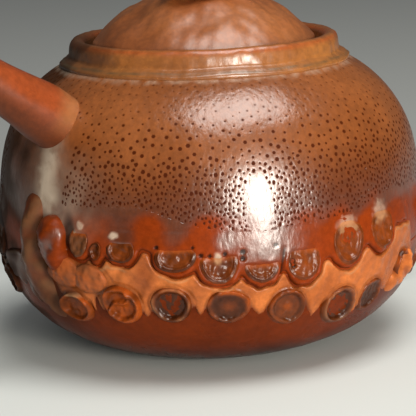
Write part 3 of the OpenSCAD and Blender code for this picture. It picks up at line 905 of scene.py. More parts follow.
def lower_shape(q, theta, disc):
    """Rim, groove, dish and button of a lower sucker, in mm above its seat."""
    swing = 1 + 0.25 * np.cos(theta + disc["psi"]) + 0.12 * np.cos(3 * theta + disc["z"])
    rim = 0.5 * disc["rim"] * spot(q, 0.83, 0.12) * swing
    dish = -disc["dish"] * fall(q, 0.72, 0.18) if disc["rim"] else -disc["dish"] * (1 - q ** 2)
    button = 0.5 * disc["button"] * spot(q, 0, 0.3) + 0.12 * spot(q, 0.5, 0.07) * bool(disc["rim"])
    turned_q = q * np.cos(theta - 1.2 - 1.5 * q)
    swirl = disc.get("swirl", 0) * 0.7 * spot(turned_q, 0.12, 0.12) * fall(q, 0.9, 0.2)
    return rim + dish + button + swirl


def upper_shape(q, theta, disc):
    """Lips of an upper sucker: a ridge, a groove and a thin rim, in mm above the skin that carries it."""
    swing = 1 + 0.3 * np.cos(theta * 2 + disc["psi"])
    ridges = 0.32 * spot(q, 0.93, 0.035) + 0.2 * spot(q, 0.85, 0.025) + 0.28 * spot(q, 0.76, 0.04) * swing
    return disc["rim"] * (ridges - 0.3 * fall(q, 0.72, 0.2) + 0.14 * spot(q, 0.62, 0.035))

# %% Colour of the suckers
def upper_colour(q, psi, z, disc, warm, shown):
    """Grooves and the outer edge darkened with painted shade, reddened lips, and the hem's own orange where
    the skin covers the sucker.
    """
    lines = spot(q, 0.89, 0.02) + spot(q, 0.805, 0.02) + 0.7 * spot(q, 0.7, 0.03)
    groove_shade = disc.get("dark", 0.5) * (lines + 0.5 * rise(q, 0.72, 0.1)) * 0.75 + 0.5 * spot(q, 0.98, 0.03)
    lips = 0.1 + 0.6 * warm + 0.4 * spot(q, 0.93, 0.05)
    return groove_shade, np.maximum(1 - shown, lips) * hem_flush(psi, z)


def lower_colour(q, theta, psi, z, disc, warm):
    """One groove and the outer edge darkened with painted shade; orange on the rim from the flame, stronger
    on its upper side as a painted highlight; and orange in the middle or all over.
    """
    groove_shade = 0.4 * spot(q, 0.66, 0.06) * bool(disc["rim"]) + 0.3 * rise(q, 0.96, 0.04)
    # The rim's upper side is painted brighter orange, a painted highlight of the light from above.
    flame_and_top_highlight = 0.35 + 0.65 * smooth(0.5 + 0.7 * np.sin(theta))
    glow = disc.get("glow", 0.0) if disc["rim"] else 0.95
    all_over = glow * (0.8 + 0.25 * lumps(psi, z, middling))
    in_the_middle = disc.get("core", 0) * spot(q, 0, 0.3)
    return groove_shade, np.maximum.reduce([warm * flame_and_top_highlight * rise(q, 0.55, 0.3), all_over, in_the_middle])

# %% Suckers
def sucker(disc, row):
    """Points, faces and masks of one sucker: rings that hug the pot, a middle point, and a back inside."""
    theta = np.arange(SUCKER_SIDES) * 2 * math.pi / SUCKER_SIDES
    phase = rng.uniform(0, 2 * math.pi, 2)
    out_of_round = 1 + 0.035 * np.cos(2 * theta + phase[0]) + 0.025 * np.cos(3 * theta + phase[1])
    q = RING_AT[:, None] + 0 * theta
    y = q * disc["b"] * out_of_round * np.sin(theta)
    z = disc["z"] + y
    psi = disc["psi"] + q * disc["a"] * out_of_round * np.cos(theta) / DEGREE
    warm = disc["warm"] * np.clip(0.9 + 0.35 * lumps(psi, z, middling), 0, 1)
    if row == "upper":
        shown = cover(y / disc["b"], disc)
        level = upper_surface(psi, z) + (upper_shape(q, theta, disc) + 0.05) * shown - 0.14 * (1 - shown)
        groove_shade, flush = upper_colour(q, psi, z, disc, warm, shown)
    else:
        shown = np.ones_like(q)
        level = disc.get("seat", SEAT) + lower_shape(q, theta, disc)
        groove_shade, flush = lower_colour(q, theta, psi, z, disc, warm)
    ash, hole = pads_and_pits(psi, z, [disc])
    level = level + 0.07 * lumps(psi, z, fine) * shown + 0.2 * ash - 0.6 * hole
    level = (level + EDGE_SINK) * rounded(1 - q, 0.14) - EDGE_SINK
    r = skin(z) + uneven(psi, z) + level

    middle = on_pot(disc["psi"], r[-1].mean(), disc["z"])[None]
    back = on_pot(psi[0], skin(z[0]) - BACK, z[0])
    hub = on_pot(disc["psi"], skin(disc["z"]) - BACK, disc["z"])[None]
    points = np.concatenate([on_pot(psi, r, z).reshape(-1, 3), middle, back, hub])
    count, inmost = q.size, q.size - SUCKER_SIDES
    behind = count + 1
    faces = (grid_faces(len(RING_AT), SUCKER_SIDES, around=True) + fan(inmost, count, SUCKER_SIDES)
             + band(behind, 0, SUCKER_SIDES) + fan(behind, behind + SUCKER_SIDES, SUCKER_SIDES, flip=True))

    pale_rim = disc.get("pale", 0) * spot(q, 0.84, 0.08) * smooth(0.6 + 0.5 * lumps(psi, z, middling))
    masks = {"crease": np.clip(np.maximum(groove_shade * shown, hole), 0, 1), "flush": np.clip(flush, 0, 1),
             "ash": np.maximum(ash, disc.get("dull", 0) * shown + pale_rim), "smoke": painted_shade_at(psi, z)}
    for key, value in masks.items():
        masks[key] = np.concatenate([value.ravel(), [value[-1].mean()], np.zeros(SUCKER_SIDES + 1)])
    return points, faces, masks

# %% The suckers as pieces
sucker_pieces = {}
for key, discs in arms.items():
    row, side = key.split("_")
    points, faces, masks = joined(*[sucker(disc, row) for disc in discs])
    sucker_pieces[key] = make_piece(f"{row}_suckers_{side}_clay", points, faces, "pot", masks,
                                    (f"{row}_suckers_{side}",))
print("suckers:", {k: len(discs) for k, discs in arms.items()})

# %% [markdown]
# ## The pricked upper body
# The maker pricked the soft clay with a fine needle, wide apart near the collar and close together, in
# short upright nicks, towards the arms. A bump map could draw the pricks, but it could not keep them whole
# and apart as a hand does. Here each one is a small pit in a triangulated skin. Darts thrown at random,
# each refused if it lands too near another, give the even scatter of a patient hand.

# %% Where the pricks go
PRICK_FROM, PRICK_TO = 33.6, 62.6    # mm, heights of the lowest and the highest prick
RUBBED_AT, RUBBED_SIZE = (-27.5, 38.5), (3.1, 7.5)   # degrees and mm, mm: a place that a thumb rubbed smooth
around = 360 * DEGREE      # mm round the belly, the width of the unrolled skin
path_z = np.linspace(seam_h, shoulder_h, 400)
path_step = np.hypot(np.diff(path_z), np.diff(skin(path_z)))
path_length = np.concatenate([[0], np.cumsum(path_step)])   # mm along the wall from the seam


def height_at(t):
    """Height of a place t mm along the wall from the seam."""
    return np.interp(t, path_length, path_z)


def length_at(z):
    """How far along the wall a height is."""
    return np.interp(z, path_z, path_length)


def prick_spacing(z):
    """mm between pricks: wide at the collar, close near the arms."""
    return 2.0 - 1.12 * fall(z, 56, 15)


def prick_height(z):
    """How tall a prick is for its width: the needle slanted more and more towards the arms."""
    return 1 + 0.6 * fall(z, 50, 10)


def worn(s, t):
    """Places without pricks: the arms, one a thumb rubbed smooth again, and one that ash filled."""
    psi, z = nearest(s / DEGREE + 180), float(height_at(t))
    ash_filled = -114 < psi < -80 + 0.2 * (z - 40) and z < 55
    under_arm = z < float(hem(psi)) + ROW_UP + 0.9
    across, up_from = (psi - RUBBED_AT[0]) * DEGREE, z - RUBBED_AT[1]
    rubbed = math.hypot(across / RUBBED_SIZE[0], up_from / RUBBED_SIZE[1]) < 1
    return ash_filled or under_arm or rubbed


print("unrolled skin:", round(around, 1), "by", round(float(path_length[-1]), 1), "mm")

# %% Throwing the darts
CELL = 2.4                 # mm, size of the squares in which neighbours are looked for
CELLS_AROUND = int(around / CELL)
PRICK_TRIES, FILLER_TRIES = 90000, 30000
FILLER_GAP = 1.3           # mm between the points that fill the skin between the pricks
FILLER_OFF = 0.75          # mm, how far such a point keeps from a prick
SKIN_EDGE = 0.9            # mm that they keep from the skin's lower and upper edges


def cell_of(s, t):
    """The square that a place on the unrolled skin lies in."""
    return int(s / around * CELLS_AROUND), int(t / CELL)


def is_clear(store, s, t, gap):
    """Whether nothing lies nearer than a gap, or than the room that the neighbour itself keeps."""
    z = float(height_at(t))
    shrink = float(skin(z)) / belly_r
    tall = 1 + 0.25 * (float(prick_height(z)) - 1)
    i, j = cell_of(s, t)
    for di in (-1, 0, 1):
        for dj in (-1, 0, 1):
            for s2, t2, room in store.get(((i + di) % CELLS_AROUND, j + dj), ()):
                ds = abs(s - s2)
                if math.hypot(min(ds, around - ds) * shrink, (t - t2) / tall) < max(gap, room):
                    return False
    return True


def throw_darts(low, high, spacing, tries, refuse, kept=(), keep_off=0.0):
    """Points (s, t) on the unrolled skin that stay a spacing apart and keep off those there already."""
    store, out = {}, []

    def keep(s, t, room):
        i, j = cell_of(s, t)
        store.setdefault((i % CELLS_AROUND, j), []).append((s, t, room))

    for s, t in kept:
        keep(s, t, keep_off)
    for s, t in zip(rng.uniform(0, around, tries), rng.uniform(low, high, tries)):
        gap = spacing(float(height_at(t))) * rng.uniform(0.74, 1.2)
        if not refuse(s, t) and is_clear(store, s, t, gap):
            out.append((s, t))
            keep(s, t, 0.0)
    return out


pricks = throw_darts(length_at(PRICK_FROM), length_at(PRICK_TO), prick_spacing, PRICK_TRIES, worn)
filler = throw_darts(SKIN_EDGE, path_length[-1] - SKIN_EDGE, lambda z: FILLER_GAP, FILLER_TRIES,
                     lambda s, t: False, pricks, FILLER_OFF)
print(len(pricks), "pricks,", len(filler), "points between them")

# %% The pricked skin
PRICK_R = 0.36             # mm, radius of a prick at the skin
PRICK_DEEP = 0.08          # mm; real pricks are deeper, and the shade their depth would hold is painted on their floor as a dark colour
SEAM_COLUMNS = 220         # points round the skin's lower and upper edges
SEAM_KEEP = 0.5            # mm on either side of the seam at the back that stay free of points
EDGE_KEEP = 0.4            # mm inside those edges that stay free of points


def skin_places():
    """The skin's points as (s, t, depth, dark), where dark marks a prick's floor for painted shade: the
    filler, and each prick's pit with two rings round it.
    """
    places = [(s, t, 0, 0) for s, t in filler]
    for s, t in pricks:
        z = float(height_at(t))
        size = (PRICK_R + 0.2 * rise(z, 40, 12)) * rng.uniform(0.6, 1.3)
        tall = float(prick_height(z))
        shrink = belly_r / float(skin(z))
        places.append((s, t, PRICK_DEEP, 1))
        for share, turned_by in ((1, 0), (1.4, 0.5)):
            for k in range(6):
                a = (k + turned_by) * math.pi / 3
                ds, dt = share * size * math.cos(a) * shrink, share * size * tall * math.sin(a)
                places.append((s + ds, t + dt, 0, 0))
    places = np.array(places)
    places[:, 0] %= around
    s, t = places[:, 0], places[:, 1]
    off_seam = (s > SEAM_KEEP) & (s < around - SEAM_KEEP)
    off_edges = (t > EDGE_KEEP) & (t < path_length[-1] - EDGE_KEEP)
    return places[off_seam & off_edges]


def pricked_body():
    """The upper body's outer skin with its pricks. It is triangulated flat, with one column of points at the
    back on both its sides, and the copies on the right are then led back to their twins on the left."""
    s, t, deep, dark = skin_places().T
    top = path_length[-1]
    edge_s = np.arange(SEAM_COLUMNS) / SEAM_COLUMNS * around
    seam_t = np.arange(1, int(top)) * top / int(top)
    all_s = np.concatenate([edge_s, edge_s, 0 * seam_t, s, [around, around], 0 * seam_t + around])
    all_t = np.concatenate([0 * edge_s, 0 * edge_s + top, seam_t, t, [0, top], seam_t])
    found = delaunay_2d_cdt([Vector(p) for p in zip(all_s, all_t)], [], [], 0, 1e-7)
    count = 2 * SEAM_COLUMNS + len(seam_t) + len(s)
    twins = np.concatenate([[0, SEAM_COLUMNS], 2 * SEAM_COLUMNS + np.arange(len(seam_t))])
    home = np.concatenate([np.arange(count), twins])
    back_to = [home[original[0]] for original in found[3]]
    faces = [[int(back_to[i]) for i in face] for face in found[2]]
    faces = [f for f in faces if len(set(f)) == 3]
    z = height_at(all_t[:count])
    psi = all_s[:count] / DEGREE + 180
    at_edges = np.zeros(count - len(s))
    sunk = np.concatenate([at_edges, deep])
    lean = np.arctan(-np.interp(z, path_z, np.gradient(skin(path_z), path_z)))
    r = skin(z) + uneven(psi, z) * fall(z, shoulder_h, 2) - sunk * np.cos(lean)
    return on_pot(psi, r, z - sunk * np.sin(lean)), faces, np.concatenate([at_edges, dark])


skin_points, skin_faces, prick_mask = pricked_body()
print("pricked skin:", len(skin_points), "points")

# %% The inside of the upper body
MOUTH_R = 22.0             # mm, radius of the opening under the lid
CEILING = 4.0              # mm, thickness of the body under the collar
COLLAR_LAP = 3             # mm from the collar's outside to where the body's top becomes its seat
ceiling_h = shoulder_h - CEILING
inner_outline = ([(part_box("neck_ring")[1].x / MM - COLLAR_LAP, shoulder_h), (MOUTH_R, shoulder_h),
                  (MOUTH_R, ceiling_h)]
                 + [(wall_profile(z, inside=True), z) for z in np.linspace(ceiling_h - 0.3, seam_h, 20)])
psi_edge = np.arange(SEAM_COLUMNS) * 360 / SEAM_COLUMNS + 180
inner_points = np.concatenate([on_pot(psi_edge, r, z) for r, z in inner_outline])
base = len(skin_points)
inmost = base + (len(inner_outline) - 1) * SEAM_COLUMNS
lining = (grid_faces(len(inner_outline), SEAM_COLUMNS, around=True, start=base)
          + band(SEAM_COLUMNS, base, SEAM_COLUMNS) + band(inmost, 0, SEAM_COLUMNS))
print("lining:", len(lining), "faces")

# %% The upper body as a piece
skin_psi, skin_z = angle_of(skin_points), skin_points[:, 2]
edge_ash = 0.35 * rise(skin_z, shoulder_h - 1.0, 0.6) * smooth(lumps(skin_psi, skin_z, middling) + 1)
fainter_prick_shade = 1 - 0.68 * rise(skin_z, 47, 13)      # the upper pricks are painted less dark with shade, and their roughness and dulled gloss fade too
skin_masks = {"prick": prick_mask * fainter_prick_shade, "flush": hem_flush(skin_psi, skin_z),
              "smoke": painted_shade_at(skin_psi, skin_z), "ash": np.maximum(painted_sheen_at(skin_psi, skin_z), edge_ash)}
no_mask = np.zeros(len(inner_points))
mantle = make_piece("pricked_body", np.concatenate([skin_points, inner_points]), skin_faces + lining, "pot",
                    {key: np.concatenate([value, no_mask]) for key, value in skin_masks.items()},
                    ("mantle",))
print("upper body:", len(mantle.data.polygons), "faces")

# %% [markdown]
# ## Bowl, collar and lid
# These are turned outlines with the hand's unevenness added. A screw modifier could turn them, but the
# unevenness has to move their points. The collar's rim wanders most, because it was pinched from a coil
# and left as it was.

# %% Bowl
FOOT_WALL = 2              # mm, thickness of the wall where it stands
FOOT_EASE = 0.5            # mm, how far the foot's lowest edge is rounded in
FLOOR_TOP = 4.3            # mm, height at which the inside of the wall meets the floor of the pot
foot_r = float(np.interp(0.2, wall_z, wall_radius))
bowl_bore = foot_r - FOOT_WALL
bowl_z = np.concatenate([[0.25, 0.8], np.linspace(1.6, seam_h, 46)])
bowl_out = [(foot_r - FOOT_EASE, 0.0)] + [(float(skin(z)) - (0.15 if z < 0.5 else 0), z) for z in bowl_z]
bowl_in = [(max(bowl_bore, wall_profile(z, inside=True)), z)
           for z in np.linspace(seam_h - 0.2, FLOOR_TOP, 16)]


def bowl_wobble(psi, r, z):
    """The outside wanders as the whole pot does, but not where it stands."""
    outside = r > np.interp(z, wall_z, wall_radius) - 1.5
    return r + np.where(outside, uneven(psi, z) * smooth(z / 4), 0), z


bowl_points, bowl_faces = turned([(bowl_bore, 0.0)] + bowl_out + bowl_in, 240, bowl_wobble)
bowl_psi, bowl_up = angle_of(bowl_points), bowl_points[:, 2]
bowl_flush = rise(bowl_up, seam_h - 5, 5) * np.clip(0.8 + 0.3 * lumps(bowl_psi, bowl_up, broad), 0, 1)
bowl = make_piece("bowl_clay", bowl_points, bowl_faces, "pot",
                  {"smoke": painted_shade_at(bowl_psi, bowl_up), "flush": bowl_flush}, ("bowl_wall",))
print("bowl:", len(bowl_points), "points, foot radius", round(foot_r, 2), "mm")

# %% Outline of the collar
COLLAR_R = 29.9            # mm, radius of the collar under its rim
COLLAR_T = 3.0             # mm, thickness of the rim
SEAT_DEEP = 2.9            # mm from the rim down to the seat that the lid lies on
RAGGED = [(n, rng.uniform(0, 6.28), 0.34 / n ** 0.55) for n in (3, 5, 8, 13, 19, 27, 38, 52)]
neck_r = float(np.interp(shoulder_h - 0.2, wall_z, wall_radius))
seat_h = rim_h - SEAT_DEEP

# Radius and height from the opening out along the joint, up the outside, over the rim and down to the seat
joint_outline = [(neck_r + out, shoulder_h + rise_by) for out, rise_by in (
    (0.1, -0.3), (0.15, 0.5), (-0.35, 0.75), (-0.75, 1.2))]
outside_outline = [(COLLAR_R + out, shoulder_h + rise_by) for out, rise_by in (
    (0.7, 1.9), (0.55, 2.8), (0.45, 3.6))]
rim_outline = [(COLLAR_R + out, rim_h - down) for out, down in (
    (0.35, 1.6), (0.15, 1.0), (-0.2, 0.45), (-0.7, 0.08), (-1.3, 0), (0.9 - COLLAR_T, 0.15),
    (0.3 - COLLAR_T, 0.6), (-COLLAR_T, 1.1), (-COLLAR_T, SEAT_DEEP))]
collar_outline = [(MOUTH_R, shoulder_h), *joint_outline, *outside_outline, *rim_outline, (MOUTH_R, seat_h)]
print("collar from", round(shoulder_h, 1), "to", round(rim_h, 1), "mm")

# %% Collar
def ragged(psi):
    """The uneven line that pinching fingers leave, about -1 to 1."""
    return sum(size * np.cos(n * np.radians(psi) + phase) for n, phase, size in RAGGED)


def collar_wobble(psi, r, z):
    """The rim wanders in and out and up and down, and the outside is dented."""
    share = rise(z, shoulder_h + 0.2, 4)
    at_rim = spot(r, COLLAR_R, 1.8)
    outside = rise(r, COLLAR_R - 1.6, 1.2) * rise(z, shoulder_h + 0.1, 0.6)
    dents = 0.05 * lumps(psi, z, middling)
    in_and_out = 0.26 * ragged(psi + 3 * z) * at_rim * share + dents * outside
    up_and_down = 0.5 * ragged(psi) * share * at_rim
    pressed = 0.25 * np.sin(np.radians(9 * psi)) * (1 - share) * outside     # finger marks along the joint
    return r + in_and_out, z + up_and_down + pressed


collar_points, collar_faces = turned(finer(collar_outline, 0.45), 360, collar_wobble)
collar_psi, collar_z = angle_of(collar_points), collar_points[:, 2]
collar_up = collar_z - shoulder_h
outer = np.hypot(collar_points[:, 0], collar_points[:, 1]) > COLLAR_R - 1.2
joint = spot(collar_up + 0.15 * np.sin(np.radians(13 * collar_psi)), 0.95, 0.2) * outer
red_line = 0.6 * spot(collar_z, rim_h - 0.6, 0.5)
# The collar's left side, away from the lamps, is darkened with painted shade.
shaded_left = 0.5 * fall(collar_psi, -70, 22) * rise(collar_psi, -178, 45)
collar = make_piece("collar_clay", collar_points, collar_faces, "pot",
                    {"crease": 0.7 * joint, "flush": red_line,
                     "smoke": np.maximum(painted_shade_at(collar_psi, collar_z), shaded_left)},
                    ("neck_ring",))
print("collar:", len(collar_points), "points")

# %% Lid
lid_low, lid_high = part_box("lid_dome")
lid_r = (lid_high.x - lid_low.x) / 2 / MM
lid_base = lid_low.z / MM
flange_low, flange_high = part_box("lid_flange")
flange_r = (flange_high.x - flange_low.x) / 2 / MM
lid_tree = tree_of("lid_dome")


def lid_profile(r, under=False):
    """Height of the lid at a radius, in mm, seen from above or from below."""
    start = Vector((0, -r * MM, 0.06 if under else 0.15))
    hit = lid_tree.ray_cast(start, Vector((0, 0, 1 if under else -1)))[0]
    return hit.z / MM


lid_out = [(r, lid_profile(r)) for r in np.linspace(0.25, lid_r - 1.0, 30)]
edge_z = lid_out[-1][1]
lid_edge = [(lid_r - 0.45, edge_z - 0.5), (lid_r - 0.1, edge_z - 0.95), (lid_r, lid_base + 0.7),
            (lid_r - 0.2, lid_base)]
under_radii = np.linspace(flange_r - 2.6, 0.25, 12)
lid_in = [(flange_r, lid_base)] + [(r, lid_profile(r, under=True)) for r in under_radii]


def lid_wobble(psi, r, z):
    """Soft dents on top, and an edge that was pinched with the collar's hand."""
    outside = rise(z, lid_base + 1.2, 1.5) * smooth(r / 6)
    at_edge = rise(r, 20, 4) * rise(z, lid_base, 1)
    at = on_pot(psi, r, z)
    dents = 0.2 * lumps_at(at, broad) + 0.07 * lumps_at(at, middling)
    return r + 0.05 * ragged(psi) * at_edge, z + dents * outside


lid_points, lid_faces = turned((lid_out + lid_edge + lid_in)[::-1], 220, lid_wobble)
lid = make_piece("lid_clay_dome", lid_points, lid_faces, "lid", {}, ("lid_dome",))
print("lid radius", round(lid_r, 2), "mm, top at", round(lid_out[0][1], 2), "mm")

# %% [markdown]
# ## Spout, handle and knob
# All three are rolled strands, and a curve with a bevel could make them. Their points are worked out, so
# that their thickness can swell and their colour can follow their shape. The spout was pushed over a
# stick, and its root was pressed on and left blunt, so a soft rounded lip stands off the body. The handle
# and the knob keep the marks of fingers.

# %% Outline of the spout
SPOUT_RISE = math.radians(34)
SPOUT_H = 55.0             # mm, height at which the spout's axis leaves the wall
SPOUT_LUMP = 0.02          # share of its radius by which the tube is out of round
spout_tree = tree_of("spout")
spout_axis = np.array([-math.cos(SPOUT_RISE), 0, math.sin(SPOUT_RISE)])
spout_root = np.array([-float(np.interp(SPOUT_H, wall_z, wall_radius)), 0, SPOUT_H])
# Distance along the axis and radius, in mm: along the outside from within the wall to the tip, and back in
spout_outline = [(-6.5, 6.3), (-3, 6.35), (0.5, 6.5), (3.5, 6.55), (6.2, 6.25), (9, 5.85), (12, 5.5),
                 (16, 5.05), (20, 4.65), (24, 4.3), (28, 4.05), (30.2, 3.95), (30.8, 3.6), (31.0, 3.1),
                 (30.8, 2.6), (28, 2.45), (15, 3.2), (4, 4.2), (-3, 4.5), (-6.5, 4.5)]


def tube_along(axis, root, outline, sides):
    """A closed outline of distance and radius turned round an axis, a little out of round."""
    side = np.array([0.0, 1.0, 0.0])
    top = np.cross(axis, side)
    a = np.arange(sides) * 2 * math.pi / sides
    points = []
    for d, r in outline:
        waves = np.cos(2 * a + 0.11 * d) + 0.7 * np.cos(3 * a - 0.2 * d) + 0.5 * np.cos(5 * a + 0.35 * d)
        swell = r * (1 + SPOUT_LUMP * waves)
        outwards = np.cos(a)[:, None] * side + np.sin(a)[:, None] * top
        points.append(root + axis * d + swell[:, None] * outwards)
    rows = len(outline)
    faces = grid_faces(rows, sides, around=True, flip=True) + band(0, (rows - 1) * sides, sides)
    return np.concatenate(points), faces

# %% Spout
spout_fine = finer(spout_outline, 0.8, lengthwise=True)
spout_points, spout_faces = tube_along(spout_axis, spout_root, spout_fine, 64)
along = (spout_points - spout_root) @ spout_axis
from_axis = spout_points - spout_root - np.outer(along, spout_axis)
facing_up = from_axis[:, 2] / np.linalg.norm(from_axis, axis=1)
# The spout's underside is darkened with painted shade.
underneath = fall(facing_up, 0.25, 0.9)
root_sheen = fall(along, 6.0, 4.5) * (1 - underneath)      # a pale sheen painted where the spout joins the body, in the ash colour
spout = make_piece("spout_clay_tube", spout_points, spout_faces, "pot",
                   {"flush": 0.6 - 0.4 * root_sheen, "smoke": 0.75 * underneath, "ash": 0.45 * root_sheen},
                   ("spout",))
print("spout:", len(spout_points), "points, root", round(float(-spout_root[0]), 1), "mm from the axis")

# %% Handle
HANDLE_TOP, HANDLE_FOOT = 44.0, 17.0      # mm, heights of its roots
HANDLE_ROOT_D, HANDLE_END_D = 10.0, 6.5   # mm, thickness at the upper and at the lower root
HANDLE_ARCH, HANDLE_HANG = 1.0, 12.0      # mm, how far it arches up, and how far its lower half hangs out
ROOT_DEEP, FOOT_DEEP = 5, 3.25            # mm, how far its ends go into the wall
HANDLE_STEPS = 70
handle_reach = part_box("handle")[1].x / MM
root_x, foot_x = float(skin(HANDLE_TOP)), float(skin(HANDLE_FOOT)) + PROUD
# The middle of a Bezier curve is an eighth of its ends and three eighths of its guides
guide_x = (8 * (handle_reach - HANDLE_ROOT_D / 2) - root_x - foot_x) / 6
guides = np.array([(root_x - ROOT_DEEP, HANDLE_TOP),
                   (guide_x - HANDLE_HANG / 2, HANDLE_TOP + HANDLE_ARCH),
                   (guide_x + HANDLE_HANG / 2, HANDLE_FOOT + HANDLE_ARCH / 4),
                   (foot_x - FOOT_DEEP, HANDLE_FOOT)])
u = np.linspace(0, 1, HANDLE_STEPS)[:, None]
curve = sum(math.comb(3, k) * (1 - u) ** (3 - k) * u ** k * guides[k] for k in range(4))
handle_path = np.stack([curve[:, 0], np.zeros(HANDLE_STEPS), curve[:, 1]], 1)
handle_radii = np.linspace(HANDLE_ROOT_D, HANDLE_END_D, HANDLE_STEPS) / 2
handle_points, handle_faces = strand(handle_path, handle_radii, sides=40, lump=0.03)
handle = make_piece("handle_clay_strand", handle_points, handle_faces, "pot",
                    {"flush": np.full(len(handle_points), 0.35)}, ("handle",))
print("handle reaches to", round(float(handle_points[:, 0].max()), 1), "mm")

# %% Knob
KNOB_START, KNOB_TURN = -82.0, 430.0      # degrees, where the coil starts and how far it turns
KNOB_T, KNOB_TIP_T = 8.0, 4.4             # mm, thickness of the arm at its start and at its tip
KNOB_REACH, KNOB_TIP_R = 12.0, 1.2        # mm from the axis to the middle of the arm, at its two ends
KNOB_RISE = 8.0                           # mm, how far the tip stands up over the coil
knob_u = np.linspace(0, 1, 110)
knob_r = KNOB_TIP_R + (KNOB_REACH - KNOB_TIP_R) * (1 - knob_u) ** 1.35
knob_half = (KNOB_T + (KNOB_TIP_T - KNOB_T) * knob_u) / 2
knob_dome = np.array([lid_profile(r) for r in knob_r])
knob_lean = np.array([lid_profile(r - 0.5) - lid_profile(r + 0.5) for r in knob_r])
knob_z = knob_dome + (knob_half + 0.05) * np.sqrt(1 + knob_lean ** 2) + KNOB_RISE * rise(knob_u, 0.3, 0.6)
knob_path = on_pot(KNOB_START + KNOB_TURN * knob_u, knob_r, knob_z)
knob_points, knob_faces = strand(knob_path, knob_half, sides=32, lump=0.03)
knob = make_piece("knob_clay_coil", knob_points, knob_faces, "lid",
                  {"flush": np.full(len(knob_points), 0.5)}, ("knob",))
print("knob up to", round(float(knob_points[:, 2].max()), 1), "mm")

# %% [markdown]
# ## Clay
# Wood-fired stoneware clay, burnished with a stone before the firing and left without glaze. Flame and
# ash colour it: iron turns orange-red where the flame licked and brown above, and ash leaves pale, dry
# patches. Pale patches of painted sheen lie in the ash colour too, and painted shade darkens the far side,
# hollows, creases, pricks and the foot. The burnish gives a soft, wide gloss with small crinkles in it. One
# low roughness could give a gloss too. The shader's coat is used instead, because the burnished skin has
# crinkles of its own, and it is taken off where the masks of pricks, ash and sheen, flame and painted shade
# lie.

# %% Colour and nodes
def linear(hex_colour):
    """An sRGB hex colour as linear RGBA."""
    values = [int(hex_colour[i:i + 2], 16) / 255 for i in (1, 3, 5)]
    return [v / 12.92 if v <= 0.04045 else ((v + 0.055) / 1.055) ** 2.4 for v in values] + [1]


def add_node(tree, kind, inputs=None, **settings):
    """Adds a node with its settings, its input values and the sockets that feed it. Returns its outputs."""
    node = tree.nodes.new("ShaderNode" + kind)
    for key, value in settings.items():
        setattr(node, key, value)
    for key, value in (inputs or {}).items():
        if isinstance(value, bpy.types.NodeSocket):
            tree.links.new(value, node.inputs[key])
        else:
            node.inputs[key].default_value = value
    return node.outputs


def new_material(name):
    """A material whose node tree is still empty."""
    material = bpy.data.materials.new(name)
    material.use_nodes = True
    material.node_tree.nodes.clear()
    return material


print("red iron clay, linear:", [round(v, 3) for v in linear("#965628")])

# %% Patterns in the clay
SMOOTHLY = "SMOOTHSTEP"


def cloudy(tree, mm, size, detail=3, rough=0.5, stretch=(1, 1, 1), edges=None, values=(0.0, 1.0)):
    """A noise with lumps about size mm across. edges are the noise values that become the first and the
    second of values, with a soft S between."""
    at = add_node(tree, "Mapping", {"Vector": mm, "Scale": stretch})[0]
    # A noise of scale 1 changes over about 1 unit, so half of that is the breadth of one lump
    noise = add_node(tree, "TexNoise", {"Vector": at, "Scale": 0.5 / size, "Detail": detail,
                                        "Roughness": rough})["Fac"]
    if edges is None:
        return noise
    return add_node(tree, "MapRange", {0: noise, 1: edges[0], 2: edges[1], 3: values[0], 4: values[1]},
                    interpolation_type=SMOOTHLY)[0]


def below(tree, mm, height, fade):
    """1 below a height in mm and 0 above it, along a wavy line."""
    z = add_node(tree, "SeparateXYZ", {0: mm})["Z"]
    wander = cloudy(tree, mm, 9, 2, edges=(0.2, 0.8), values=(-2.5, 2.5))
    wavy = add_node(tree, "Math", {0: z, 1: wander}, operation="ADD")[0]
    return add_node(tree, "MapRange", {0: wavy, 1: height - fade, 2: height + fade, 3: 1.0, 4: 0.0},
                    interpolation_type=SMOOTHLY)[0]


def layered(tree, colour, layers):
    """A colour under layers, each with its colour, how it blends and the factors of its share."""
    for over, blend, share, *factors in layers:
        for factor in factors:
            share = add_node(tree, "Math", {0: share, 1: factor}, operation="MULTIPLY")[0]
        colour = add_node(tree, "Mix", {0: share, 6: colour, 7: over}, data_type="RGBA", blend_type=blend)[2]
    return colour


def weighted(tree, total, mask, weights):
    """A value with some masks added to it, each by its weight."""
    for key, weight in weights.items():
        total = add_node(tree, "Math", {0: mask[key], 1: weight, 2: total}, operation="MULTIPLY_ADD")[0]
    return total

# %% Fired clay
# The masks, in order: flame colour; painted shade on the far side and in hollows; pale ash and painted sheen;
# painted shade in creases, with the collar's joint; the pricks, darkened with painted shade.
MASKS = ("flush", "smoke", "ash", "crease", "prick")
STROKE, STROKE_DEEP = 0.6, 0.12   # mm: the burnishing stone's strokes, twice as tall as wide
GRIT, GRIT_DEEP = 0.2, 0.05       # mm: the sand in the clay
PATINA_DEEP = 0.21                # mm: the strokes again, in the polished skin that carries the gloss


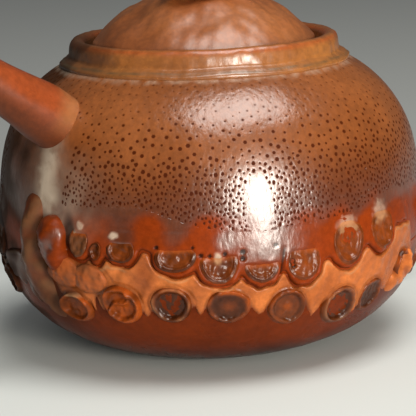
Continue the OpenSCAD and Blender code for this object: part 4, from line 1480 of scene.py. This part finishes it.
def clay_colour(tree, mm, mask, body, dark, flush, low, low_h, ash, crease, prick, smoke, mottle, ash_share):
    """body and dark mottle together. Over them come the low colour, flame, ash and painted sheen, painted
    shade, speckle, and the painted shade of creases and pricks.
    """
    layers = [(linear(dark), "MIX", cloudy(tree, mm, mottle, edges=(0.35, 0.65)))]
    if low:
        layers.append((linear(low), "MIX", below(tree, mm, *low_h)))
    licked = cloudy(tree, mm, 4, edges=(0.25, 0.55), values=(0.7, 1.0))
    layers.append((linear(flush), "MIX", mask["flush"], licked))
    if ash_share:
        patch_from = 0.5 + 0.22 * (1 - ash_share)
        patches = cloudy(tree, mm, 7, rough=0.6, edges=(patch_from, patch_from + 0.12))
        layers.append((linear(ash), "MIX", patches, 0.5))
    speckle = cloudy(tree, mm, 0.7, rough=0.65, edges=(0.3, 0.7), values=(0.84, 1.12))
    grey = add_node(tree, "CombineColor", {0: speckle, 1: speckle, 2: speckle})[0]
    dusty = cloudy(tree, mm, 1.6, rough=0.6, edges=(0.25, 0.55), values=(0.6, 1.0))
    # The pricks are darkened with painted shade.
    prick_shade = add_node(tree, "MapRange", {0: mask["prick"], 1: 0.06, 2: 0.4, 3: 0.0, 4: 0.95},
                       interpolation_type=SMOOTHLY)[0]
    layers += [(linear(smoke), "MIX", mask["smoke"], 0.85), (grey, "MULTIPLY", 1.0),
               (linear(ash), "MIX", mask["ash"], dusty), (linear(crease), "MIX", mask["crease"], 0.9),
               (linear(prick), "MIX", prick_shade)]
    return layered(tree, linear(body), layers)


def fired_clay(name, body, dark, flush, low=None, low_h=None, gloss=0.3, shine=0.0, soft=0.24, specular=0.5,
               ash="#a8906c", crease="#1a0c06", prick="#421603", smoke="#2e1a0a", mottle=16, ash_share=0.0):
    """Wood-fired clay. flush is the flame's orange. low is the colour below a height in mm, and low_h that
    height with the one over which it fades. mottle is the size of the clouds in mm. gloss is the roughness of
    the clay itself. shine and soft are the strength and the roughness of the burnished skin, which flame,
    ash, pricks and painted shade take away. The default colours of creases, pricks and the far side are dark
    colours of painted shade, and the ash colour also paints sheen."""
    material = new_material(name)
    tree = material.node_tree
    where = add_node(tree, "TexCoord")["Object"]
    mm = add_node(tree, "VectorMath", {0: where, "Scale": 1 / MM}, operation="SCALE")[0]
    mask = {key: add_node(tree, "Attribute", attribute_name=key)["Fac"] for key in MASKS}
    colour = clay_colour(tree, mm, mask, body, dark, flush, low, low_h, ash, crease, prick, smoke, mottle,
                         ash_share)

    patchy = cloudy(tree, mm, 3, edges=(0.3, 0.7), values=(gloss - 0.04, gloss + 0.06))
    roughness = weighted(tree, patchy, mask, {"ash": 0.3, "prick": 0.45, "smoke": 0.3})
    bare = weighted(tree, 0.0, mask, {"prick": 1.0, "ash": 0.5, "flush": 0.4, "smoke": 0.3})
    polish = add_node(tree, "MapRange", {0: bare, 1: 0.05, 2: 0.4, 3: shine, 4: 0.0},
                      interpolation_type=SMOOTHLY)[0]

    strokes = cloudy(tree, mm, STROKE, stretch=(1, 1, 0.5))
    grit = cloudy(tree, mm, GRIT, 2)
    stroked = add_node(tree, "Bump", {"Height": strokes, "Strength": 0.3, "Distance": STROKE_DEEP * MM})[0]
    gritty = add_node(tree, "Bump", {"Height": grit, "Strength": 0.2, "Distance": GRIT_DEEP * MM,
                                     "Normal": stroked})[0]
    crinkled = add_node(tree, "Bump", {"Height": strokes, "Strength": 0.5, "Distance": PATINA_DEEP * MM})[0]
    shader = add_node(tree, "BsdfPrincipled", {
        "Base Color": colour, "Roughness": roughness, "IOR": 1.6, "Specular IOR Level": specular,
        "Normal": gritty, "Coat Weight": polish, "Coat Roughness": soft, "Coat IOR": 1.78,
        "Coat Normal": crinkled})[0]
    add_node(tree, "OutputMaterial", {"Surface": shader})
    return material

# %% The clays
# The upper body was burnished longest: a wide, soft gloss over brown, darker low down, orange at the hem.
upper_clay = fired_clay("burnished_stoneware_upper_body", "#965628", "#80461c", "#80300a", ash="#d4c2ac",
                        low="#562406", low_h=(46, 12), shine=1.0, soft=0.29, specular=0.06)
# The bowl lost its gloss to the embers: deep red-brown, near black at the foot where painted contact shade
# darkens it, and orange under the arms.
bowl_clay = fired_clay("burnished_stoneware_bowl", "#6a2807", "#561f07", "#98401a", low="#24100a",
                       low_h=(3.5, 5), specular=0.06)
# The collar was only wiped smooth: a paler tan, softer in its gloss, with a little ash and an olive joint.
collar_clay = fired_clay("stoneware_collar", "#a86a30", "#8a5224", "#a04418", crease="#4c4630",
                         ash_share=0.3, shine=0.7, soft=0.34, specular=0.3)
# The lid and the knob are the same tan clay with the dullest polish, so they show no sharp light.
lid_clay = fired_clay("burnished_stoneware_lid", "#a06030", "#8a4c22", "#9a441e", gloss=0.42, shine=0.3,
                      soft=0.36)
# The spout and the handle took the flame: red-brown and glossy, with patches of dry tan ash, a tan sheen
# painted at the spout's root, and painted shade underneath.
spout_clay = fired_clay("flashed_stoneware_spout", "#844018", "#783816", "#984420", ash="#a8784c",
                        ash_share=0.3, shine=0.9, specular=0.2)
# The lower arms are flashed the brightest orange and hardly polished, so their colour shows, not the light.
lower_arm_clay = fired_clay("flashed_stoneware_lower_arms", "#6c2a08", "#74300c", "#c8723a",
                            crease="#2a1208", shine=0.2, specular=0.08)
# The suckers kept the air out while they were pressed on: dark brown, finely clouded, with a faint sheen.
sucker_clay = fired_clay("reduced_stoneware_suckers", "#4e2408", "#3c1a06", "#a04a18", ash="#b58a64",
                         mottle=6, shine=0.18, specular=0.08)
# Inside, the clay is as it was thrown: matt, and one even red-brown.
inside_clay = fired_clay("raw_stoneware_inside", "#8a4a28", "#7a4024", "#8a4a28", gloss=0.7)


def finish_with(material, *objects):
    """Gives objects one clay."""
    for item in objects:
        item.data.materials.clear()
        item.data.materials.append(material)


finish_with(upper_clay, mantle)
finish_with(bowl_clay, bowl, frame["nodes"]["base_slab"])
finish_with(collar_clay, collar)
finish_with(lid_clay, lid, knob)
finish_with(spout_clay, spout, handle)
finish_with(inside_clay, frame["nodes"]["lid_flange"], frame["nodes"]["spout_strainer"])
for key in arms:
    finish_with(upper_clay if key.startswith("upper") else lower_arm_clay, arm_pieces[key])
    finish_with(sucker_clay, sucker_pieces[key])
print("clays:", [material.name for material in bpy.data.materials if material.users])

# %% [markdown]
# ## Table, background and light
# The pot stands on a pale cloth in a studio. The table is a pale floor with a pool of light painted round
# the pot, and the background is a plain mid grey that only the camera and reflections see, so it adds no
# light to the pot. Three soft boxes light it, because the photograph shows one tall window in the clay and a
# wide, weak sheen round it.

# %% Table
TABLE_HALF = 1.2           # metres
LIGHT_POOL_EDGE, LIGHT_POOL_GONE = 0.07, 0.17   # metres from the axis, where the painted pool of light starts and ends to fade
corners = [(x * TABLE_HALF, y * TABLE_HALF, 0) for x, y in ((-1, -1), (1, -1), (1, 1), (-1, 1))]
floor_mesh = bpy.data.meshes.new("table")
floor_mesh.from_pydata(corners, [], [[0, 1, 2, 3]])
floor = bpy.data.objects.new("table", floor_mesh)
bpy.context.scene.collection.objects.link(floor)

# Cotton cloth, bleached and woven too finely to show: matt and pale, with a pool of light painted round the
# pot.
cloth = new_material("pale_cloth")
tree = cloth.node_tree
at = add_node(tree, "TexCoord")["Object"]
from_pot = add_node(tree, "VectorMath", {0: at}, operation="LENGTH")["Value"]
away = add_node(tree, "MapRange", {0: from_pot, 1: LIGHT_POOL_EDGE, 2: LIGHT_POOL_GONE}, interpolation_type=SMOOTHLY)[0]
pooled_light_tone = add_node(tree, "Mix", {0: away, 6: linear("#dce3e1"), 7: linear("#aeb2b0")}, data_type="RGBA")[2]
shader = add_node(tree, "BsdfPrincipled", {"Base Color": pooled_light_tone, "Roughness": 0.9,
                                           "Specular IOR Level": 0.1})[0]
add_node(tree, "OutputMaterial", {"Surface": shader})
floor_mesh.materials.append(cloth)
print("table", 2 * TABLE_HALF, "m wide")

# %% World
world = bpy.data.worlds.new("studio")
bpy.context.scene.world = world
world.use_nodes = True
tree = world.node_tree
tree.nodes.clear()
rays = add_node(tree, "LightPath")
seen = rays["Is Camera Ray"]
for ray in ("Is Glossy Ray", "Is Transmission Ray"):
    seen = add_node(tree, "Math", {0: seen, 1: rays[ray]}, operation="MAXIMUM")[0]
fill_light = add_node(tree, "Background", {"Color": linear("#d0d0d0"), "Strength": 0.26})[0]
backdrop = add_node(tree, "Background", {"Color": linear("#3c3d3c"), "Strength": 1.0})[0]
chosen = add_node(tree, "MixShader", {0: seen, 1: fill_light, 2: backdrop})[0]
add_node(tree, "OutputWorld", {"Surface": chosen})
print("world:", len(tree.nodes), "nodes")

# %% Lamps
AIM_H = 0.035              # metres, the height of the belly, which every lamp faces

# A tall window box in front gives the key light and the bright core of the sheen. A wide box overhead
# lights the lid and the shoulder, and a large weak one in front spreads the sheen as the burnish does.
# name: degrees round the pot, distance, height, width and tallness in metres, radiance, colour
SOFT_BOXES = {
    "key_window": (-15, 0.45, 0.08, 0.115, 0.16, 31, "#fff6ea"),
    "top_box": (5, 0.31, 0.94, 0.66, 0.48, 7, "#fffaf4"),
    "front_sheen": (-12, 1.1, 0.4, 0.6, 0.6, 2.0, "#fff6ea"),
}


def soft_box(name, psi, distance, height, width, tall, radiance, colour):
    """A soft box aimed at the belly. Its power follows from its radiance and its size."""
    light = bpy.data.lights.new(name, "AREA")
    light.shape = "RECTANGLE"
    light.size = width
    light.size_y = tall
    light.energy = radiance * math.pi * width * tall
    light.color = linear(colour)[:3]
    lamp = bpy.data.objects.new(name, light)
    bpy.context.scene.collection.objects.link(lamp)
    a = math.radians(psi)
    lamp.location = (distance * math.sin(a), -distance * math.cos(a), height)
    lamp.rotation_euler = (lamp.location - Vector((0, 0, AIM_H))).to_track_quat("Z", "Y").to_euler()
    print(name, round(light.energy, 2), "W")


for name, numbers in SOFT_BOXES.items():
    soft_box(name, *numbers)

# %% [markdown]
# ## Measures
# Where each named thing shows in the picture, in pixels.

# %% Measures
scene = bpy.context.scene
scene.view_settings.view_transform = "Standard"


def shown_at(point):
    """Where a point in metres shows, in the photograph's pixels."""
    local = camera.matrix_world.inverted() @ Vector(point)
    reach = max(W, H) * camera_data.lens / camera_data.sensor_width / -local.z
    return W / 2 + local.x * reach, H / 2 - local.y * reach


def outermost(piece, low, high, axis, last):
    """Where a piece shows between two heights in mm, at its last or first place in x (0) or y (1)."""
    points = [v.co for v in piece.data.vertices if low < v.co.z / MM < high]
    at = np.array([shown_at(point) for point in points])
    return at[at[:, axis].argmax() if last else at[:, axis].argmin()]


report = {
    "rim_left": outermost(collar, rim_h - 1.2, math.inf, 0, last=False),
    "rim_right": outermost(collar, rim_h - 1.2, math.inf, 0, last=True),
    "base_bottom": outermost(bowl, -math.inf, math.inf, 1, last=True),
    "bulge_right": outermost(arm_pieces["lower_front"], 14, 26, 0, last=True),
    "spout_root": np.array(shown_at(place("spout_root", spout_tree))),
}
for disc in arms["upper_front"] + arms["lower_front"]:
    if disc["name"]:
        on_face = on_pot(disc["psi"], skin(disc["z"]) + PROUD, disc["z"])
        report[disc["name"]] = np.array(shown_at(on_face * MM))
